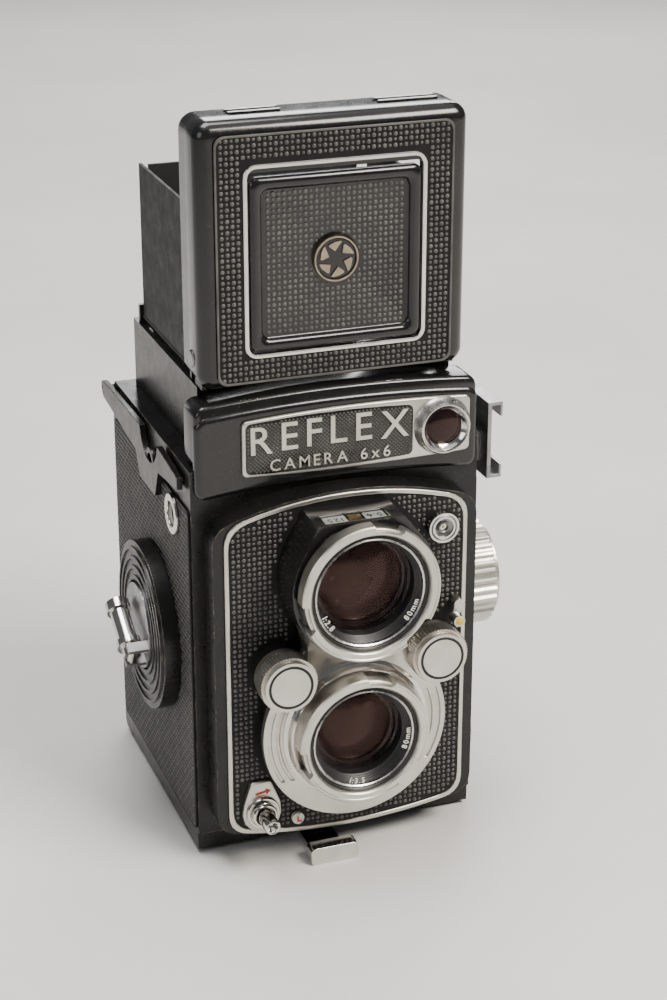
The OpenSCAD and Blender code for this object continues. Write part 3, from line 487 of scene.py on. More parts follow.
def make_coverings():
    """Covering of the sides, door, front panel and lid, each with its own rows of grains, painted
    lighter than the covering as highlight.
    """
    dress("side_covers", "leatherette", 0.15)
    dress("door_cover", "leatherette", 0.15)
    dress("panel_cover", "leatherette")
    dress("lid_cover", "leatherette", 0.12)
    panel_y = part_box("panel_cover")[0].y / MM
    sync_socket, lock, sync_tip = (24.8, 87.7, 4.1), (-13.8, 11.4, 1.8), (28.0, 63.5, 2.4)
    keep_off = ((*TAKING, 24.6), (*VIEWING, 19.0), (*LEFT_DIAL, 7.4), (*RIGHT_DIAL, 7.4),
                sync_socket, lock, (*RELEASE, 4.9), sync_tip)

    def on_panel(x, z, reach):
        if not in_panel(x, z, 1.5 + reach) or not clear_of(x, z, keep_off, reach):
            return False
        if z > 87 and -12.8 - (97.2 - z) * 0.5 - reach < x < 10.8 + (97.2 - z) * 0.9 + reach:
            return False
        if -28.0 - reach < x < -18.4 + reach and 8.6 < z < 24.4:
            return False
        return not (abs(x) < 15.5 + reach and 40 < z < 79)

    pebbles("panel_grain", "front_standard", lambda u, v, h: (u, panel_y - h, v), on_panel,
            (-30.6, 30.6), (6.0, 99.0))
    lid_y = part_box("lid_cover")[0].y / MM

    def on_lid(x, z, reach):
        inside = abs(x) + reach < 29.3 and 128.5 < z - reach and z + reach < 187.8
        return inside and not (abs(x) - reach < 23.3 and 133.7 < z + reach
                               and z - reach < 181.4)

    pebbles("lid_grain", "lid", lambda u, v, h: (u, lid_y - h, v), on_lid,
            (-29.3, 29.3), (128.4, 187.8))
    # Piping round the lid covering, in the lighter grain colour: painted highlight along it.
    border = []
    for inset, lift in ((-0.05, 0.0), (-0.05, 0.22), (0.2, 0.36), (0.45, 0.22), (0.45, 0.0)):
        border.append([(x, lid_y - lift, z) for x, z in
                       rounded(-29.9 + inset, 127.9 + inset, 29.9 - inset, 188.3 - inset, 2.4)])
    loft("lid_piping", border, "pebble_painted_highlight", "lid", closed=False, soft=60.0)
    for sign, name in ((-1, "left"), (1, "right")):
        edge = 38.3 * sign
        if sign < 0:
            discs = ((*CRANK_AXIS, 22.6), (*COUNTER_AXIS, 5.4))
        else:
            discs = ((*FOCUS_AXIS, 15.2), (*SPOOL_AXES["lower"], 6.5),
                     (*SPOOL_AXES["upper"], 6.5))

        def on_side(y, z, reach, discs=discs):
            if not (-33.0 < y - reach and y + reach < 37.8 and 7.2 < z - reach
                    and z + reach < 96.3):
                return False
            if -9.5 < y < 7.5 and z > 90.6:
                return False
            return clear_of(y, z, discs, reach)

        pebbles(f"side_grain_{name}", "body",
                lambda u, v, h, edge=edge, sign=sign: (edge + sign * h, u, v), on_side,
                (-33.0, 37.8), (7.2, 96.3), sides=6, height=0.2)
    door_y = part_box("door_cover")[1].y / MM
    pebbles("door_grain", "door", lambda u, v, h: (u, door_y + h, v),
            lambda x, z, reach: abs(x) + reach < 35.8 and 5.2 < z - reach and z + reach < 96.8,
            (-35.8, 35.8), (5.2, 96.8), sides=6, height=0.2)


# ---- hood

LID_Y, LID_Z0, LID_Z1, LID_HALF = -33.1, 126.3, 191.5, 34.2
FLAP_FIELD = -32.95


def lid_ring(grow, y, r, low_y=None):
    """A rounded rectangle round the lid, moved out by grow; the lower edge may end sooner."""
    x1, z0, z1 = LID_HALF + grow, LID_Z0 - grow, LID_Z1 + grow
    points = []
    for x, z in rounded(-x1, z0, x1, z1, max(r + grow, 0.3)):
        depth = y
        if low_y is not None and z < LID_Z0 + 3.5:
            depth = min(y, low_y)
        points.append((x, depth, z))
    return points


def lid_hole(y, grow=0.0):
    """The square hole that the finder flap fills, moved out by grow."""
    half, z0, z1 = 21.95 + grow, 135.05 - grow, 178.95 + grow
    return [(x, y, z) for x, z in rounded(-half, z0, half, z1, 1.1 + grow)]


def make_lid():
    """Lid shell with its rolled edge, ribs on top and pivots at the sides."""
    rings = [lid_hole(-31.5), lid_hole(LID_Y + 0.1), lid_hole(LID_Y, 0.2)]
    rings.append(lid_ring(-4.6, LID_Y, 2.6))
    roll, steps = 3.6, 8
    for i in range(steps + 1):
        a = math.radians(90 * i / steps)
        rings.append(lid_ring(-roll + roll * math.sin(a), LID_Y + roll * (1 - math.cos(a)), 4.0))
    back = LID_Y + 14.0
    for grow, y, low_y in ((0.0, back - 0.4, -29.4), (-0.3, back, -29.0), (-0.9, back, -29.0),
                           (-1.3, back - 0.4, -29.4), (-1.3, -31.9, None)):
        rings.append(lid_ring(grow, y, 4.0, low_y))
    rings.append(lid_ring(-2.0, -31.5, 3.0))
    shell = loft("lid_shell", rings, "black_gloss", "lid", soft=50.0)
    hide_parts("hood_lid")
    dress("lid_trim", "chrome", 0.25, 3)
    for row, x0, x1 in (("a", -23.7, -10.7), ("b", 13.7, 29.0)):
        for end, y in (("front", -24.6), ("rear", -21.8)):
            bar = rounded(x0, y - 0.6, x1, y + 0.6, 0.55, 4)
            cx = (x0 + x1) / 2
            top = [(cx + (px - cx) * 0.992, y + (py - y) * 0.8, LID_Z1 + 0.4) for px, py in bar]
            rings = [*stacked(bar, LID_Z1 - 0.2, LID_Z1 + 0.25), top]
            slab(f"lid_rib_{row}_{end}", rings, "black_gloss", "lid")
    for sign, side in ((-1, "left"), (1, "right")):
        profile = [(0.0, 34.6), (1.9, 34.6), (2.2, 34.3), (2.2, 33.9), (0.0, 33.9)]
        turned_x(f"lid_pivot_{side}", (-26.1, 133.2), [(r, sign * x) for r, x in profile],
                 "grey_metal", "lid", 24, False)


def make_badge(centre):
    """Round badge on the flap: a bronze rim round six iris blades on a dark field."""
    floor = FLAP_FIELD + 0.05
    lathe("badge_rim", (0, centre),
          [(5.7, floor), (5.7, -33.85), (5.55, -34.05), (5.2, -34.05), (5.05, -33.85),
           (5.05, floor)], "bronze", "sports_flap", 72)
    lathe("badge_field", (0, centre), [(0.0, -33.55), (4.85, -33.55), (4.85, floor), (0.0, floor)],
          "black_gloss", "sports_flap", 48, closed=False)
    blades, verts, faces = 6, [], []
    blade = ((1.5, 1.3), (4.3, 0.9), (4.25, 1.35), (3.5, 2.4), (2.2, 3.4), (1.8, 3.3))
    for i in range(blades):
        turn = 2 * math.pi * i / blades
        faces.extend(prism_faces(len(verts), len(blade)))
        for y in (-33.5, -33.95):
            for px, pz in blade:
                verts.append((px * math.cos(turn) - pz * math.sin(turn), y,
                              centre + px * math.sin(turn) + pz * math.cos(turn)))
    build("badge_iris", verts, faces, "bronze", "sports_flap", 20.0)


def make_flap():
    """Finder flap with its raised round frame, sunk grained field, badge and magnifier ears."""
    low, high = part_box("finder_flap")
    z0, z1 = low.z / MM + 0.1, high.z / MM - 0.4
    centre, half, frame_y, field, rim = (z0 + z1) / 2, 21.7, -33.3, 18.2, 3.5

    def ring(inset, y, r):
        outline = rounded(-half + inset, z0 + inset, half - inset, z1 - inset, r)
        return [(x, y, z) for x, z in outline]

    rings = [ring(0.2, -31.9, 1.9), ring(0.0, -32.1, 2.1), ring(0.0, frame_y, 2.1)]
    steps = 8
    for i in range(steps + 1):
        a = math.radians(180 * i / steps)
        rings.append(ring(1.55 - 1.5 * math.cos(a), frame_y - 1.1 * math.sin(a), 2.1))
    rings.append(ring(3.4, FLAP_FIELD, 1.3))
    plate = slab("flap_shell", rings, "black_gloss", "sports_flap", 50.0)
    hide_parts("finder_flap")

    def on_flap(x, z, reach):
        return (abs(x) + reach < field and z0 + rim < z - reach and z + reach < z1 - rim
                and math.hypot(x, z - centre) > 5.9 + reach)

    pebbles("flap_grain", "sports_flap", lambda u, v, h: (u, FLAP_FIELD - h, v), on_flap,
            (-field, field), (z0 + rim, z1 - rim))
    make_badge(centre)
    ear = rounded(-31.6, 159.0, -27.8, 163.0, 0.9, 4)
    for side, ends in (("left", (-15.6, -14.4)), ("right", (14.4, 15.6))):
        rings = [[(x, y, z) for y, z in ear] for x in ends]
        slab(f"magnifier_ear_{side}", rings, "grey_metal", "sports_flap")


def make_hood():
    """Viewing hood with its panels, lid, magnifier, screen and mirror."""
    dress("hood_base", "black_enamel", 0.4)
    for node in ("hood_back", "hood_side_left", "hood_side_right"):
        dress(node, "black_matt", 0.15)
    dress("magnifier", "grey_metal", 0.2)
    dress("magnifier_lens", "clear_glass", 0.3)
    dress("focusing_screen", "ground_glass", 0.2)
    dress("mirror", "mirror_glass")
    make_lid()
    make_flap()


# ---- meter housing


def arched(x0, x1, low, high, bow, r, grow=0.0, steps=6):
    """A band with rounded corners whose long edges bow upwards."""
    points = rounded(x0 - grow, low - grow, x1 + grow, high + grow, r + grow, steps)
    dense, parts, long_edge = [], 16, 5
    for i, (x, z) in enumerate(points):
        nx, nz = points[(i + 1) % len(points)]
        dense.append((x, z))
        if abs(nx - x) > long_edge:
            for k in range(1, parts):
                dense.append((x + (nx - x) * k / parts, z + (nz - z) * k / parts))
    span, mid = (x1 - x0) / 2, (x0 + x1) / 2
    return [(x, z + bow * (1 - ((x - mid) / span) ** 2)) for x, z in dense]


def make_housing():
    """Meter housing: a rolled front shell and the higher shell behind it."""
    def band(grow, y):
        return [(x, y, z) for x, z in arched(-36.9, 36.9, 99.4, 120.9, 2.0, 3.0, grow)]

    rings, roll, steps = [band(-2.4, HOUSING_FRONT)], 1.6, 5
    for i in range(steps + 1):
        a = math.radians(90 * i / steps)
        rings.append(band(-roll + roll * math.sin(a), HOUSING_FRONT + roll * (1 - math.cos(a))))
    rings.extend((band(0.0, -34.15), band(-1.0, -34.15)))
    shell = slab("housing_front", rings, "black_gloss", "body", 50.0)
    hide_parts("meter_housing")
    rings = []
    for y, grow in ((-35.5, -0.9), (-35.3, -0.5), (-34.9, -0.2), (-34.4, 0.0), (-26.5, 0.0),
                    (-26.1, -0.5)):
        outline = arched(-36.7, 36.7, 107.1, 123.4, 1.9, 2.6, grow)
        rings.append([(x, y, z) for x, z in outline])
    slab("housing_rear", rings, "black_gloss", "body", 50.0)


NAME_MIDDLE = -2.8


def band_outline(x0, x1, low, high, sag, bow, r, grow, y):
    """A rounded band whose upper edge bows up and whose lower edge sags."""
    span, mid = (x1 - x0) / 2, (x0 + x1) / 2
    points = []
    for x, z in arched(x0, x1, low, high, 0.0, r, grow):
        lean = 1 - min(1.0, ((x - mid) / span) ** 2)
        points.append((x, y, z + (bow if z > (low + high) / 2 else -sag) * lean))
    return points


def make_diamonds():
    """Rows of small pointed studs over the dark inlay of the nameplate, coloured lighter than the
    inlay as painted highlight.
    """
    verts, faces = [], []
    back, tip, reach, tip_share = HOUSING_FRONT - 1.05, HOUSING_FRONT - 1.32, 0.42, 0.3
    for i in range(-24, 24):
        for j in range(-14, 15):
            x = NAME_MIDDLE + i + (0.5 if j % 2 else 0.0)
            z = 112.2 + j * 0.5
            lean = 1 - ((x - NAME_MIDDLE) / 21.7) ** 2
            if not (-23.9 < x < 18.3 and 106.3 - 0.6 * lean < z < 118.1 + 0.9 * lean):
                continue
            faces.extend(prism_faces(len(verts), 4)[1:])
            for y, w in ((back, reach), (tip, reach * tip_share)):
                verts.extend(((x - w, y, z), (x, y, z - w), (x + w, y, z), (x, y, z + w)))
    # The studs take the lighter grain colour: painted highlight on the dark inlay.
    build("nameplate_diamonds", verts, faces, "pebble_painted_highlight", "body", 20.0)


def make_nameplate():
    """Silver plate with its dark inlay and the light cell in a stepped bezel."""
    front = HOUSING_FRONT
    rings = [band_outline(-25.3, 34.2, 105.0, 119.3, 0.7, 1.1, 1.3, grow, front + y)
             for grow, y in ((0.0, 0.1), (0.0, -0.75), (-0.15, -0.95), (-0.4, -1.0))]
    plate = slab("nameplate_face", rings, "satin_silver", "body", 50.0)
    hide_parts("nameplate")
    rings = [band_outline(-24.5, 18.9, 105.75, 118.65, 0.6, 0.9, 1.3, grow, front + y)
             for grow, y in ((0.0, -0.9), (0.0, -1.06), (-0.1, -1.1))]
    slab("nameplate_inlay", rings, "black_gloss", "body", 50.0)
    make_diamonds()
    lathe("cell_bezel", CELL,
          [(7.6, front - 0.9), (7.45, front - 1.15), (7.1, front - 1.6), (6.8, front - 2.5),
           (6.6, front - 3.4), (6.45, front - 3.72), (6.2, front - 3.82), (5.95, front - 3.7),
           (5.85, front - 3.2), (5.85, front - 0.9)],
          "spun_silver", "body", 96)
    lathe("cell_funnel", CELL,
          [(5.86, front - 0.9), (5.86, front - 3.3), (5.7, front - 3.35), (5.1, front - 2.6),
           (4.7, front - 2.3), (4.65, front - 2.0), (4.3, front - 1.7), (4.3, front - 0.9)],
          "chrome", "body", 72)
    dress("meter_cell", "cell", 0.3)
    # The cell's lens is opaque near-black: the dark cell behind it, partly its own colour and
    # partly painted shade.
    lathe("cell_lens", CELL,
          [(0.0, front - 2.9), (1.5, front - 2.84), (3.0, front - 2.65), (4.2, front - 2.3),
           (4.65, front - 2.0), (4.3, front - 1.75), (0.0, front - 1.75)],
          "opaque_glass_painted_shade", "body", 64, closed=False)


def letters(name, text, size, thick, centre, y, body, material, bow=0.0, span=21.5,
            gap=0.35, bold=0.0):
    """Raised capitals along a bowed line; centre is (x, z), gap is a share of the size."""
    shapes, space, bow_middle = [], gap * size * 0.3, -2.95
    for ch in text:
        curve = bpy.data.curves.new("glyph", "FONT")
        curve.body = ch
        curve.size = size
        curve.offset = bold
        curve.resolution_u = 4
        holder = bpy.data.objects.new("glyph", curve)
        bpy.context.collection.objects.link(holder)
        bpy.context.view_layer.update()
        graph = bpy.context.evaluated_depsgraph_get()
        mesh = bpy.data.meshes.new_from_object(holder.evaluated_get(graph))
        bpy.data.objects.remove(holder)
        if len(mesh.vertices):
            xs = [v.co.x for v in mesh.vertices]
            shapes.append((mesh, min(xs), max(xs)))
        else:
            shapes.append((None, 0.0, size * 0.32))
        bpy.data.curves.remove(curve)
    total = sum(hi - lo for _, lo, hi in shapes) + space * (len(shapes) - 1)
    cursor = centre[0] - total / 2
    verts, faces = [], []
    for mesh, lo, hi in shapes:
        if mesh is not None:
            work = bmesh.new()
            work.from_mesh(mesh)
            grown = bmesh.ops.extrude_face_region(work, geom=work.faces[:])
            for item in grown["geom"]:
                if isinstance(item, bmesh.types.BMVert):
                    item.co.z += thick
            work.verts.ensure_lookup_table()
            base = len(verts)
            lift = bow * (1 - ((cursor + (hi - lo) / 2 - bow_middle) / span) ** 2)
            for v in work.verts:
                verts.append((cursor + v.co.x - lo, y - v.co.z, centre[1] + lift + v.co.y))
            work.verts.index_update()
            faces.extend(tuple(base + v.index for v in f.verts) for f in work.faces)
            work.free()
            bpy.data.meshes.remove(mesh)
        cursor += hi - lo + space
    return build(name, verts, faces, material, body, 25.0)


def make_lettering():
    """Two lines of raised silver capitals on the nameplate."""
    y = HOUSING_FRONT - 1.0
    letters("plate_word", "REFLEX", 10.2, 0.5, (NAME_MIDDLE, 110.6), y, "body", "satin_silver",
            bow=0.9, bold=0.07, gap=0.75)
    letters("plate_format", "CAMERA 6x6", 4.2, 0.45, (NAME_MIDDLE, 106.1), y, "body",
            "satin_silver", bow=0.1, bold=0.02, gap=0.8)


# ---- lenses and front


def notched(outer, inner, front, back, notches):
    """Ring profile whose rim is cut back over each notch."""
    def profile(angle):
        cut = any(abs((angle - n + 180) % 360 - 180) < w for n, w in notches)
        r = outer - (0.95 if cut else 0.0)
        y = front + (1.1 if cut else 0.0)
        lip = min(r - 0.6, inner + 2.0)
        return [(r, back), (r, y + 0.35), (r - 0.3, y), (lip, y), (lip - 0.15, front + 0.12),
                (inner + 0.55, front + 0.12), (inner + 0.3, front + 0.35),
                (inner, front + 1.0), (inner, back)]
    return profile


def dome(radius, height, base, thick):
    """Profile of a lens that bulges forward by height, with a flat back."""
    steps = 12
    points = []
    for i in range(steps + 1):
        t = i / steps
        points.append((radius * t, base - height * (1 - t * t)))
    return [*points, (radius, base + thick), (0.0, base + thick)]


def make_lenses():
    """Bayonet rings, stepped black barrels and two glasses for each lens, the inner one opaque
    near-black as painted shade of the dark inside.
    """
    notches = ((75, 13), (195, 13), (315, 13))
    taking = lathe("taking_bayonet", TAKING, notched(17.2, 14.4, -55.9, -48.0, notches),
                   "satin_silver", "front_standard", 180)
    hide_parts("bayonet_rings")
    lathe("viewing_bayonet", VIEWING, notched(17.9, 15.2, -59.8, -56.0, notches),
          "satin_silver", "front_standard", 180)
    for name, centre, r0, glass, front, back in (
            ("taking_barrel", TAKING, 14.4, 11.4, -54.6, -42.5),
            ("viewing_barrel", VIEWING, 15.2, 12.6, -58.4, -42.5)):
        lip, steps = r0 - 0.9, 6
        profile = [(r0, back), (r0, front), (r0 - 0.5, front - 0.2), (lip, front + 0.2)]
        for i in range(steps + 1):
            t = i / steps
            r, y = lip + (glass - lip) * t, front + 0.2 + 3.0 * t
            profile.extend(((r, y), (r, y + 0.22)))
        profile.extend(((glass, front + 9.0), (glass - 2.2, front + 9.4), (glass - 2.2, back)))
        lathe(name, centre, profile, "black_plastic", "front_standard", 96)
        lathe(name + "_ring", centre,
              [(r0 - 0.95, front + 0.6), (r0 - 0.95, front + 0.0), (r0 - 1.2, front - 0.15),
               (r0 - 1.5, front + 0.1), (r0 - 1.5, front + 0.9)],
              "spun_silver", "front_standard", 96)
    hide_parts("lens_barrels")
    for name, centre, r, front, node in (("taking", TAKING, 11.4, -54.0, "taking_lens"),
                                         ("viewing", VIEWING, 12.6, -57.8, "viewing_lens")):
        glass = lathe(name + "_front_glass", centre, dome(r - 0.05, 1.9, front + 5.2, 0.5),
                      "coated_glass", "front_standard", 96, closed=False)
        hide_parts(node)
        lathe(name + "_glass_seat", centre,
              [(r, front + 8.4), (r, front + 5.8), (r - 0.7, front + 6.0), (r - 1.1, front + 6.9),
               (r - 1.9, front + 7.1), (r - 2.1, front + 8.4)],
              "black_gloss", "front_standard", 96)
        # The inner glass is opaque near-black: painted shade for the dark inside of the lens.
        lathe(name + "_inner_glass", centre, dome(r - 2.1, 2.4, front + 8.3, 0.4),
              "opaque_glass_painted_shade", "front_standard", 96, closed=False)
    dress("shutter_blades", "grey_metal")


def arc_letters(name, text, centre, radius, middle, y):
    """White characters set round a lens barrel; middle is the angle of the text's centre."""
    made = letters(name, text, 2.1, 0.12, (0.0, 0.0), y, "front_standard", "white_dial",
                   bold=0.02, gap=0.7)
    for v in made.data.vertices:
        angle = math.radians(middle) + v.co.x / MM / radius
        reach = radius - v.co.z / MM
        v.co.x = (centre[0] + reach * math.cos(angle)) * MM
        v.co.z = (centre[1] + reach * math.sin(angle)) * MM
    made.data.flip_normals()
    made.data.update()


def make_lens_marks():
    """Focal length and largest aperture on each barrel."""
    for name, text, centre, radius, middle, y in (
            ("taking_focal", "80mm", TAKING, 12.6, 350, -54.0),
            ("taking_speed", "1:3.5", TAKING, 12.6, 262, -54.0),
            ("viewing_focal", "80mm", VIEWING, 13.4, 330, -57.8),
            ("viewing_speed", "1:2.8", VIEWING, 13.4, 212, -57.8)):
        arc_letters(f"{name}_mark", text, centre, radius, middle, y)


def make_web():
    """The silver plate that sweeps forward from the shutter to the viewing lens ring."""
    across, along, back = 28, 18, -46.2
    verts, faces = [], []
    for j in range(along + 1):
        v = j / along
        half = 16.6 - 11.0 * v * (1 - v) - 0.8 * v
        for i in range(across + 1):
            u = 2 * i / across - 1
            x = u * half
            low = TAKING[1] + math.sqrt(17.5 ** 2 - min(16.9, abs(x)) ** 2)
            high = VIEWING[1] - math.sqrt(17.6 ** 2 - x ** 2)
            z = low + (high - low) * v
            y = -48.35 - 8.0 * v ** 2.4 + 0.5 * abs(u) ** 6
            verts.append((x, y, z))
    row = across + 1
    for j in range(along):
        for i in range(across):
            a = j * row + i
            faces.append((a, a + 1, a + row + 1, a + row))
    for column in (0, across):
        chain = [j * row + column for j in range(along + 1)]
        start = len(verts)
        for index in chain:
            x, _, z = verts[index]
            verts.append((x, back, z))
        for k in range(along):
            faces.append((chain[k], chain[k + 1], start + k + 1, start + k))
    build("faceplate_web", verts, faces, "satin_silver", "front_standard", 50.0)


def make_sync():
    """Flash socket rings over the CAD sleeve, and the lever with its coloured tip."""
    low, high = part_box("sync_socket")
    centre = ((low.x + high.x) / 2 / MM, (low.z + high.z) / 2 / MM)
    outer = min(high.x - low.x, high.z - low.z) / 2 / MM
    tip = low.y / MM
    lathe("sync_dish", centre,
          [(outer - 0.5, tip - 0.02), (outer - 0.7, tip - 0.25), (outer - 1.0, tip - 0.1),
           (outer - 1.25, tip + 0.5), (1.5, tip + 0.95), (1.4, tip + 0.3), (1.15, tip + 0.2),
           (0.95, tip + 0.35), (0.9, tip + 1.3), (outer - 0.5, tip + 1.3)],
          "grey_metal", "front_standard", 64)
    lathe("sync_pin", centre, [(0.0, tip + 0.5), (0.3, tip + 0.55), (0.42, tip + 0.8),
                               (0.42, tip + 1.6), (0.0, tip + 1.6)],
          "brass", "front_standard", 24, closed=False)
    dress("sync_lever", "satin_silver", 0.25)
    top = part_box("sync_lever")[0].y / MM
    lathe("sync_dot", (28.0, 63.0),
          [(0.0, top - 0.32), (0.7, top - 0.26), (1.05, top - 0.05), (1.15, top + 0.3),
           (0.0, top + 0.3)],
          "yellow_tip", "sync_selector", 32, closed=False)


def make_readouts():
    """Aperture and speed windows in the top face of the viewing lens surround."""
    dial_z = 96.43
    for x0, x1, name, finish in ((-9.4, -3.6, "speed", "white_dial"), (-2.9, 0.4, "mask", "brass"),
                                 (1.0, 6.3, "aperture", "white_dial")):
        rings = stacked(rounded(x0, -53.2, x1, -48.8, 0.3, 2), dial_z - 0.13, dial_z)
        slab(f"readout_{name}", rings, finish, "front_standard", 20.0)
    for name, text, middle in (("speed", "125", -6.5), ("aperture", "5.6", 3.65)):
        made = letters(f"readout_{name}_mark", text, 3.0, 0.03, (0.0, 0.0), 0.0,
                       "front_standard", "black_plastic", bold=0.03, gap=0.5)
        for v in made.data.vertices:
            x, y, z = v.co
            v.co = (middle * MM - x, -50.0 * MM - z, dial_z * MM - y)
        made.data.update()

    def frame_edge(inset, *levels):
        x0, y0, x1, y1 = -10.0 + inset, -53.8 + inset, 6.9 - inset, -48.1 - inset
        return stacked(((x0, y0), (x1, y0), (x1, y1), (x0, y1)), *levels)

    rings = frame_edge(0.0, 97.15, 97.32) + frame_edge(0.3, 97.32, 97.15)
    loft("readout_frame", rings, "chrome", "front_standard", soft=20.0)


def make_release():
    """Release escutcheon with its arrow, stepped ring, hollow plunger and lock."""
    outline = [(-26.0, 24.0), (-21.4, 24.0), (-20.9, 23.7), (-18.6, 17.5), (-18.4, 14.0),
               (-19.3, 11.6), (-21.4, 10.0), (-24.0, 9.6), (-26.4, 10.4), (-28.2, 12.4),
               (-28.8, 15.0), (-28.3, 18.0), (-26.5, 23.7)]
    cx, cz = -23.6, 16.4
    rings = []
    for y, shrink in ((-42.0, 1.0), (-43.1, 1.0), (-43.4, 0.97), (-43.5, 0.93)):
        rings.append([(cx + (x - cx) * shrink, y, cz + (z - cz) * shrink) for x, z in outline])
    plate = slab("release_plate", rings, "satin_silver", "front_standard", 30.0)
    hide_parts("release_seat")
    lathe("release_collar", RELEASE,
          [(4.4, -43.2), (4.4, -44.6), (4.2, -44.9), (3.7, -44.9), (3.5, -44.7), (3.5, -44.3),
           (3.25, -44.3), (3.25, -46.2), (3.05, -46.5), (2.65, -46.5), (2.45, -46.2),
           (2.45, -43.2)],
          "chrome", "front_standard", 64)
    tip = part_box("release_button")[0].y / MM
    plunger = lathe("release_plunger", RELEASE,
                    [(0.0, -45.7), (2.1, -45.7), (2.1, tip + 0.6), (1.95, tip + 0.15),
                     (1.7, tip), (1.4, tip + 0.1), (1.15, tip + 0.5), (0.6, tip + 1.6),
                     (0.0, tip + 1.9)], "chrome", "shutter_release", 48, closed=False)
    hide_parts("release_button")
    arrow = [(-25.4, 21.0), (-22.6, 21.5), (-22.7, 22.1), (-21.2, 21.35), (-22.4, 20.2),
             (-22.5, 20.9), (-25.3, 20.4)]
    slab("release_arrow", raised(arrow, -43.4, -43.62), "red_paint", "front_standard",
         20.0)
    dress("release_lock", "white_dial", 0.12)
    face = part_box("release_lock")[0].y / MM
    mark = [(-14.3, 12.3), (-13.9, 12.4), (-13.8, 11.2), (-13.0, 11.0), (-13.1, 10.6),
            (-14.3, 10.8)]
    slab("lock_mark", raised(mark, face + 0.1, face - 0.12), "red_paint", "release_guard",
         20.0)


FRONT_FINISHES = (
    ("lens_board", "black_enamel", 0.5, 3),
    ("panel_trim", "satin_silver", 0.28, 3),
    ("shutter_case", "black_enamel", 0.2),
    ("faceplate", "satin_silver", 0.35, 3),
    ("viewing_surround", "black_gloss", 0.4, 3),
    ("readout_glass", "clear_glass"),
    ("sync_socket", "chrome", 0.2),
    ("speed_dial", "satin_silver", 0.1),
    ("aperture_dial", "satin_silver", 0.1),
)


def make_front():
    """Front standard: panel, shutter, dials, lenses, release and sync fittings."""
    for finish in FRONT_FINISHES:
        dress(*finish)
    make_sync()
    make_release()
    make_readouts()
    # A black ring in the groove round each dial cap, made wide enough to take in the groove's
    # shade: partly painted shade.
    for name, centre, body in (("speed_dial_groove_and_shade", RIGHT_DIAL, "speed_control"),
                               ("aperture_dial_groove_and_shade", LEFT_DIAL, "aperture_control")):
        lathe(name, centre, [(6.0, -53.4), (6.0, -53.96), (4.95, -53.96), (4.95, -53.4)],
              "black_enamel", body, 72)
    lathe("shutter_ring", TAKING,
          [(19.4, -48.2), (19.35, -48.5), (19.0, -48.7), (18.4, -48.9), (18.0, -49.6),
           (17.8, -50.6), (17.5, -50.9), (17.1, -50.7), (17.1, -48.2)],
          "chrome", "front_standard", 128)
    make_web()
    make_lenses()
    make_lens_marks()


# ---- the rest of the body


def make_knob_faces():
    """Caps, grooves and the distance marks on the knobs of the right side."""
    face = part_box("focus_knob")[1].x / MM
    turned_x("focus_cap", FOCUS_AXIS,
             [(0.0, face + 0.35), (5.2, face + 0.35), (5.6, face + 0.2), (5.75, face - 0.2),
              (0.0, face - 0.2)], "satin_silver", "focus_drive", 72, False)
    turned_x("focus_cap_line", FOCUS_AXIS,
             [(6.5, face - 0.1), (6.5, face + 0.08), (6.05, face + 0.08), (6.05, face - 0.1)],
             "black_enamel", "focus_drive", 72)
    verts, faces = [], []
    marks, outer, half = 48, 9.7, 0.012
    for i in range(marks):
        a = 2 * math.pi * i / marks
        inner = 8.4 if i % 4 else 7.3
        corners = ((inner, a - half * 1.2), (outer, a - half), (outer, a + half),
                   (inner, a + half * 1.2))
        faces.extend(prism_faces(len(verts), len(corners)))
        for x in (face - 0.1, face + 0.07):
            for r, t in corners:
                verts.append((x, FOCUS_AXIS[0] + r * math.cos(t),
                              FOCUS_AXIS[1] + r * math.sin(t)))
    build("focus_marks", verts, faces, "black_enamel", "focus_drive", 20.0)
    for name, centre in SPOOL_AXES.items():
        body = f"{name}_spool_knob"
        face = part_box(f"spool_knob_{name}")[1].x / MM
        turned_x(f"spool_cap_{name}", centre,
                 [(0.0, face + 0.2), (2.2, face + 0.2), (2.45, face + 0.05),
                  (2.5, face - 0.2), (0.0, face - 0.2)],
                 "chrome", body, 48, False)
        turned_x(f"spool_line_{name}", centre,
                 [(4.3, face - 0.1), (4.3, face + 0.05), (3.9, face + 0.05),
                  (3.9, face - 0.1)], "black_enamel", body, 64)


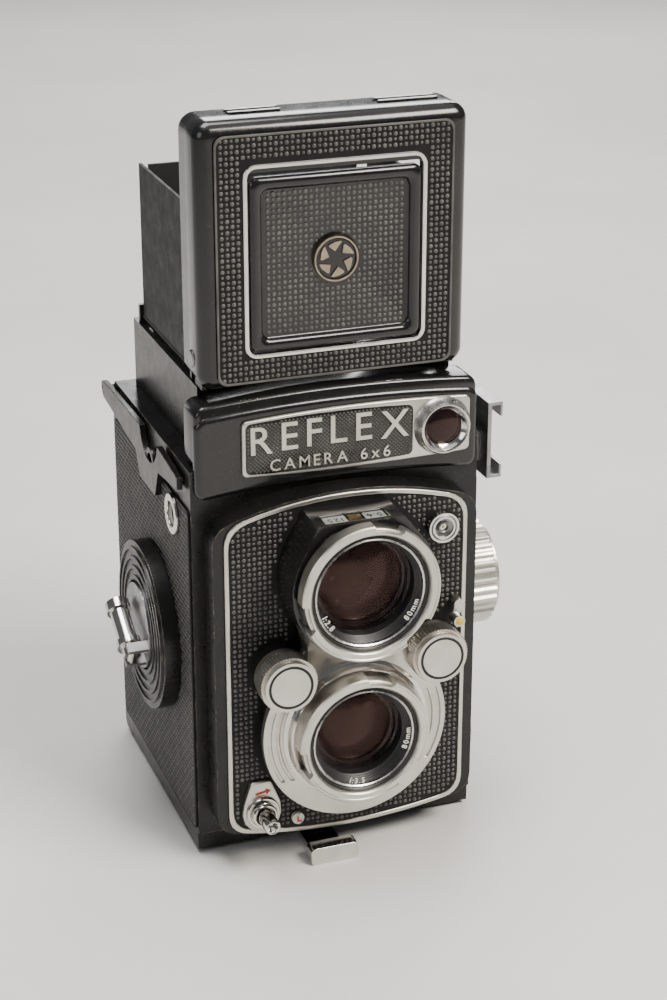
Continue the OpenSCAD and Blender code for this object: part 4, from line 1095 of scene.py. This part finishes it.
def make_meter_top():
    """Dials under the meter windows on top of the housing, with a red check mark."""
    # The long bronze strip under the meter window takes its bright colour from a band along the
    # housing's top edge: partly a dial, partly painted reflection.
    for name, x0, x1, z, finish in (("scale", -8.4, 16.4, 124.12, "bronze"),
                                    ("check", -24.4, -18.6, 123.5, "white_dial")):
        rings = stacked(rounded(x0, -34.9, x1, -33.8, 0.3, 2), z - 0.05, z + 0.05)
        slab(f"meter_{name}_dial", rings, finish, "body", 20.0)
    rings = stacked(rounded(-22.4, -34.9, -20.9, -33.8, 0.2, 2), 123.56, 123.66)
    slab("meter_check_mark", rings, "red_paint", "body", 20.0)


BODY_FINISHES = (
    ("body_casting", "black_enamel", 0.5, 3),
    ("back_door", "black_enamel", 0.4, 3),
    ("strap_lugs", "black_enamel", 0.25),
    ("accessory_shoe", "grey_metal", 0.2, 3),
    ("counter_window", "chrome", 0.3, 3),
    ("counter_dial", "white_dial"),
    ("crank_plate", "black_enamel", 0.2),
    ("crank_arm", "grey_metal", 0.25),
    ("crank_handle", "chrome", 0.4, 3),
    ("crank_gear", "brass"),
    ("take_up_gear", "brass"),
    ("take_up_spool", "black_plastic", 0.2),
    ("spool_knob_upper", "satin_silver", 0.3),
    ("spool_knob_lower", "satin_silver", 0.3),
    ("film_roller_upper", "grey_metal", 0.15),
    ("film_roller_lower", "grey_metal", 0.15),
    ("focus_knob", "satin_silver", 0.18),
    ("focus_cam", "brass", 0.1),
    ("door_feet", "chrome", 0.3, 3),
    ("pressure_plate", "black_plastic", 0.2),
    ("latch_dial", "satin_silver", 0.25),
    ("latch_hook", "grey_metal", 0.15),
    ("housing_glass", "clear_glass", 0.1),
    ("meter_needle", "red_paint"),
)


def make_body():
    """Finishes of the casting, door, winding and focus parts, with their added faces."""
    for finish in BODY_FINISHES:
        dress(*finish)
    make_knob_faces()
    make_meter_top()


def make_floor():
    """Pale plain floor, 8 m square, in nested rings."""
    verts = []
    for half in (4.0, 2.0, 0.5):
        verts.extend((x, y, 0.0) for x, y in rounded(-half, -half, half, half, 0.2))
    faces = ring_faces(3, len(verts) // 3, cap=(False, True))
    mesh = bpy.data.meshes.new("floor")
    mesh.from_pydata(verts, [], faces)
    plane = bpy.data.objects.new("floor", mesh)
    bpy.context.collection.objects.link(plane)
    mesh.materials.append(M["floor"])


make_camera()
make_studio()
make_floor()
make_coverings()
make_hood()
make_housing()
make_nameplate()
make_lettering()
make_front()
make_body()
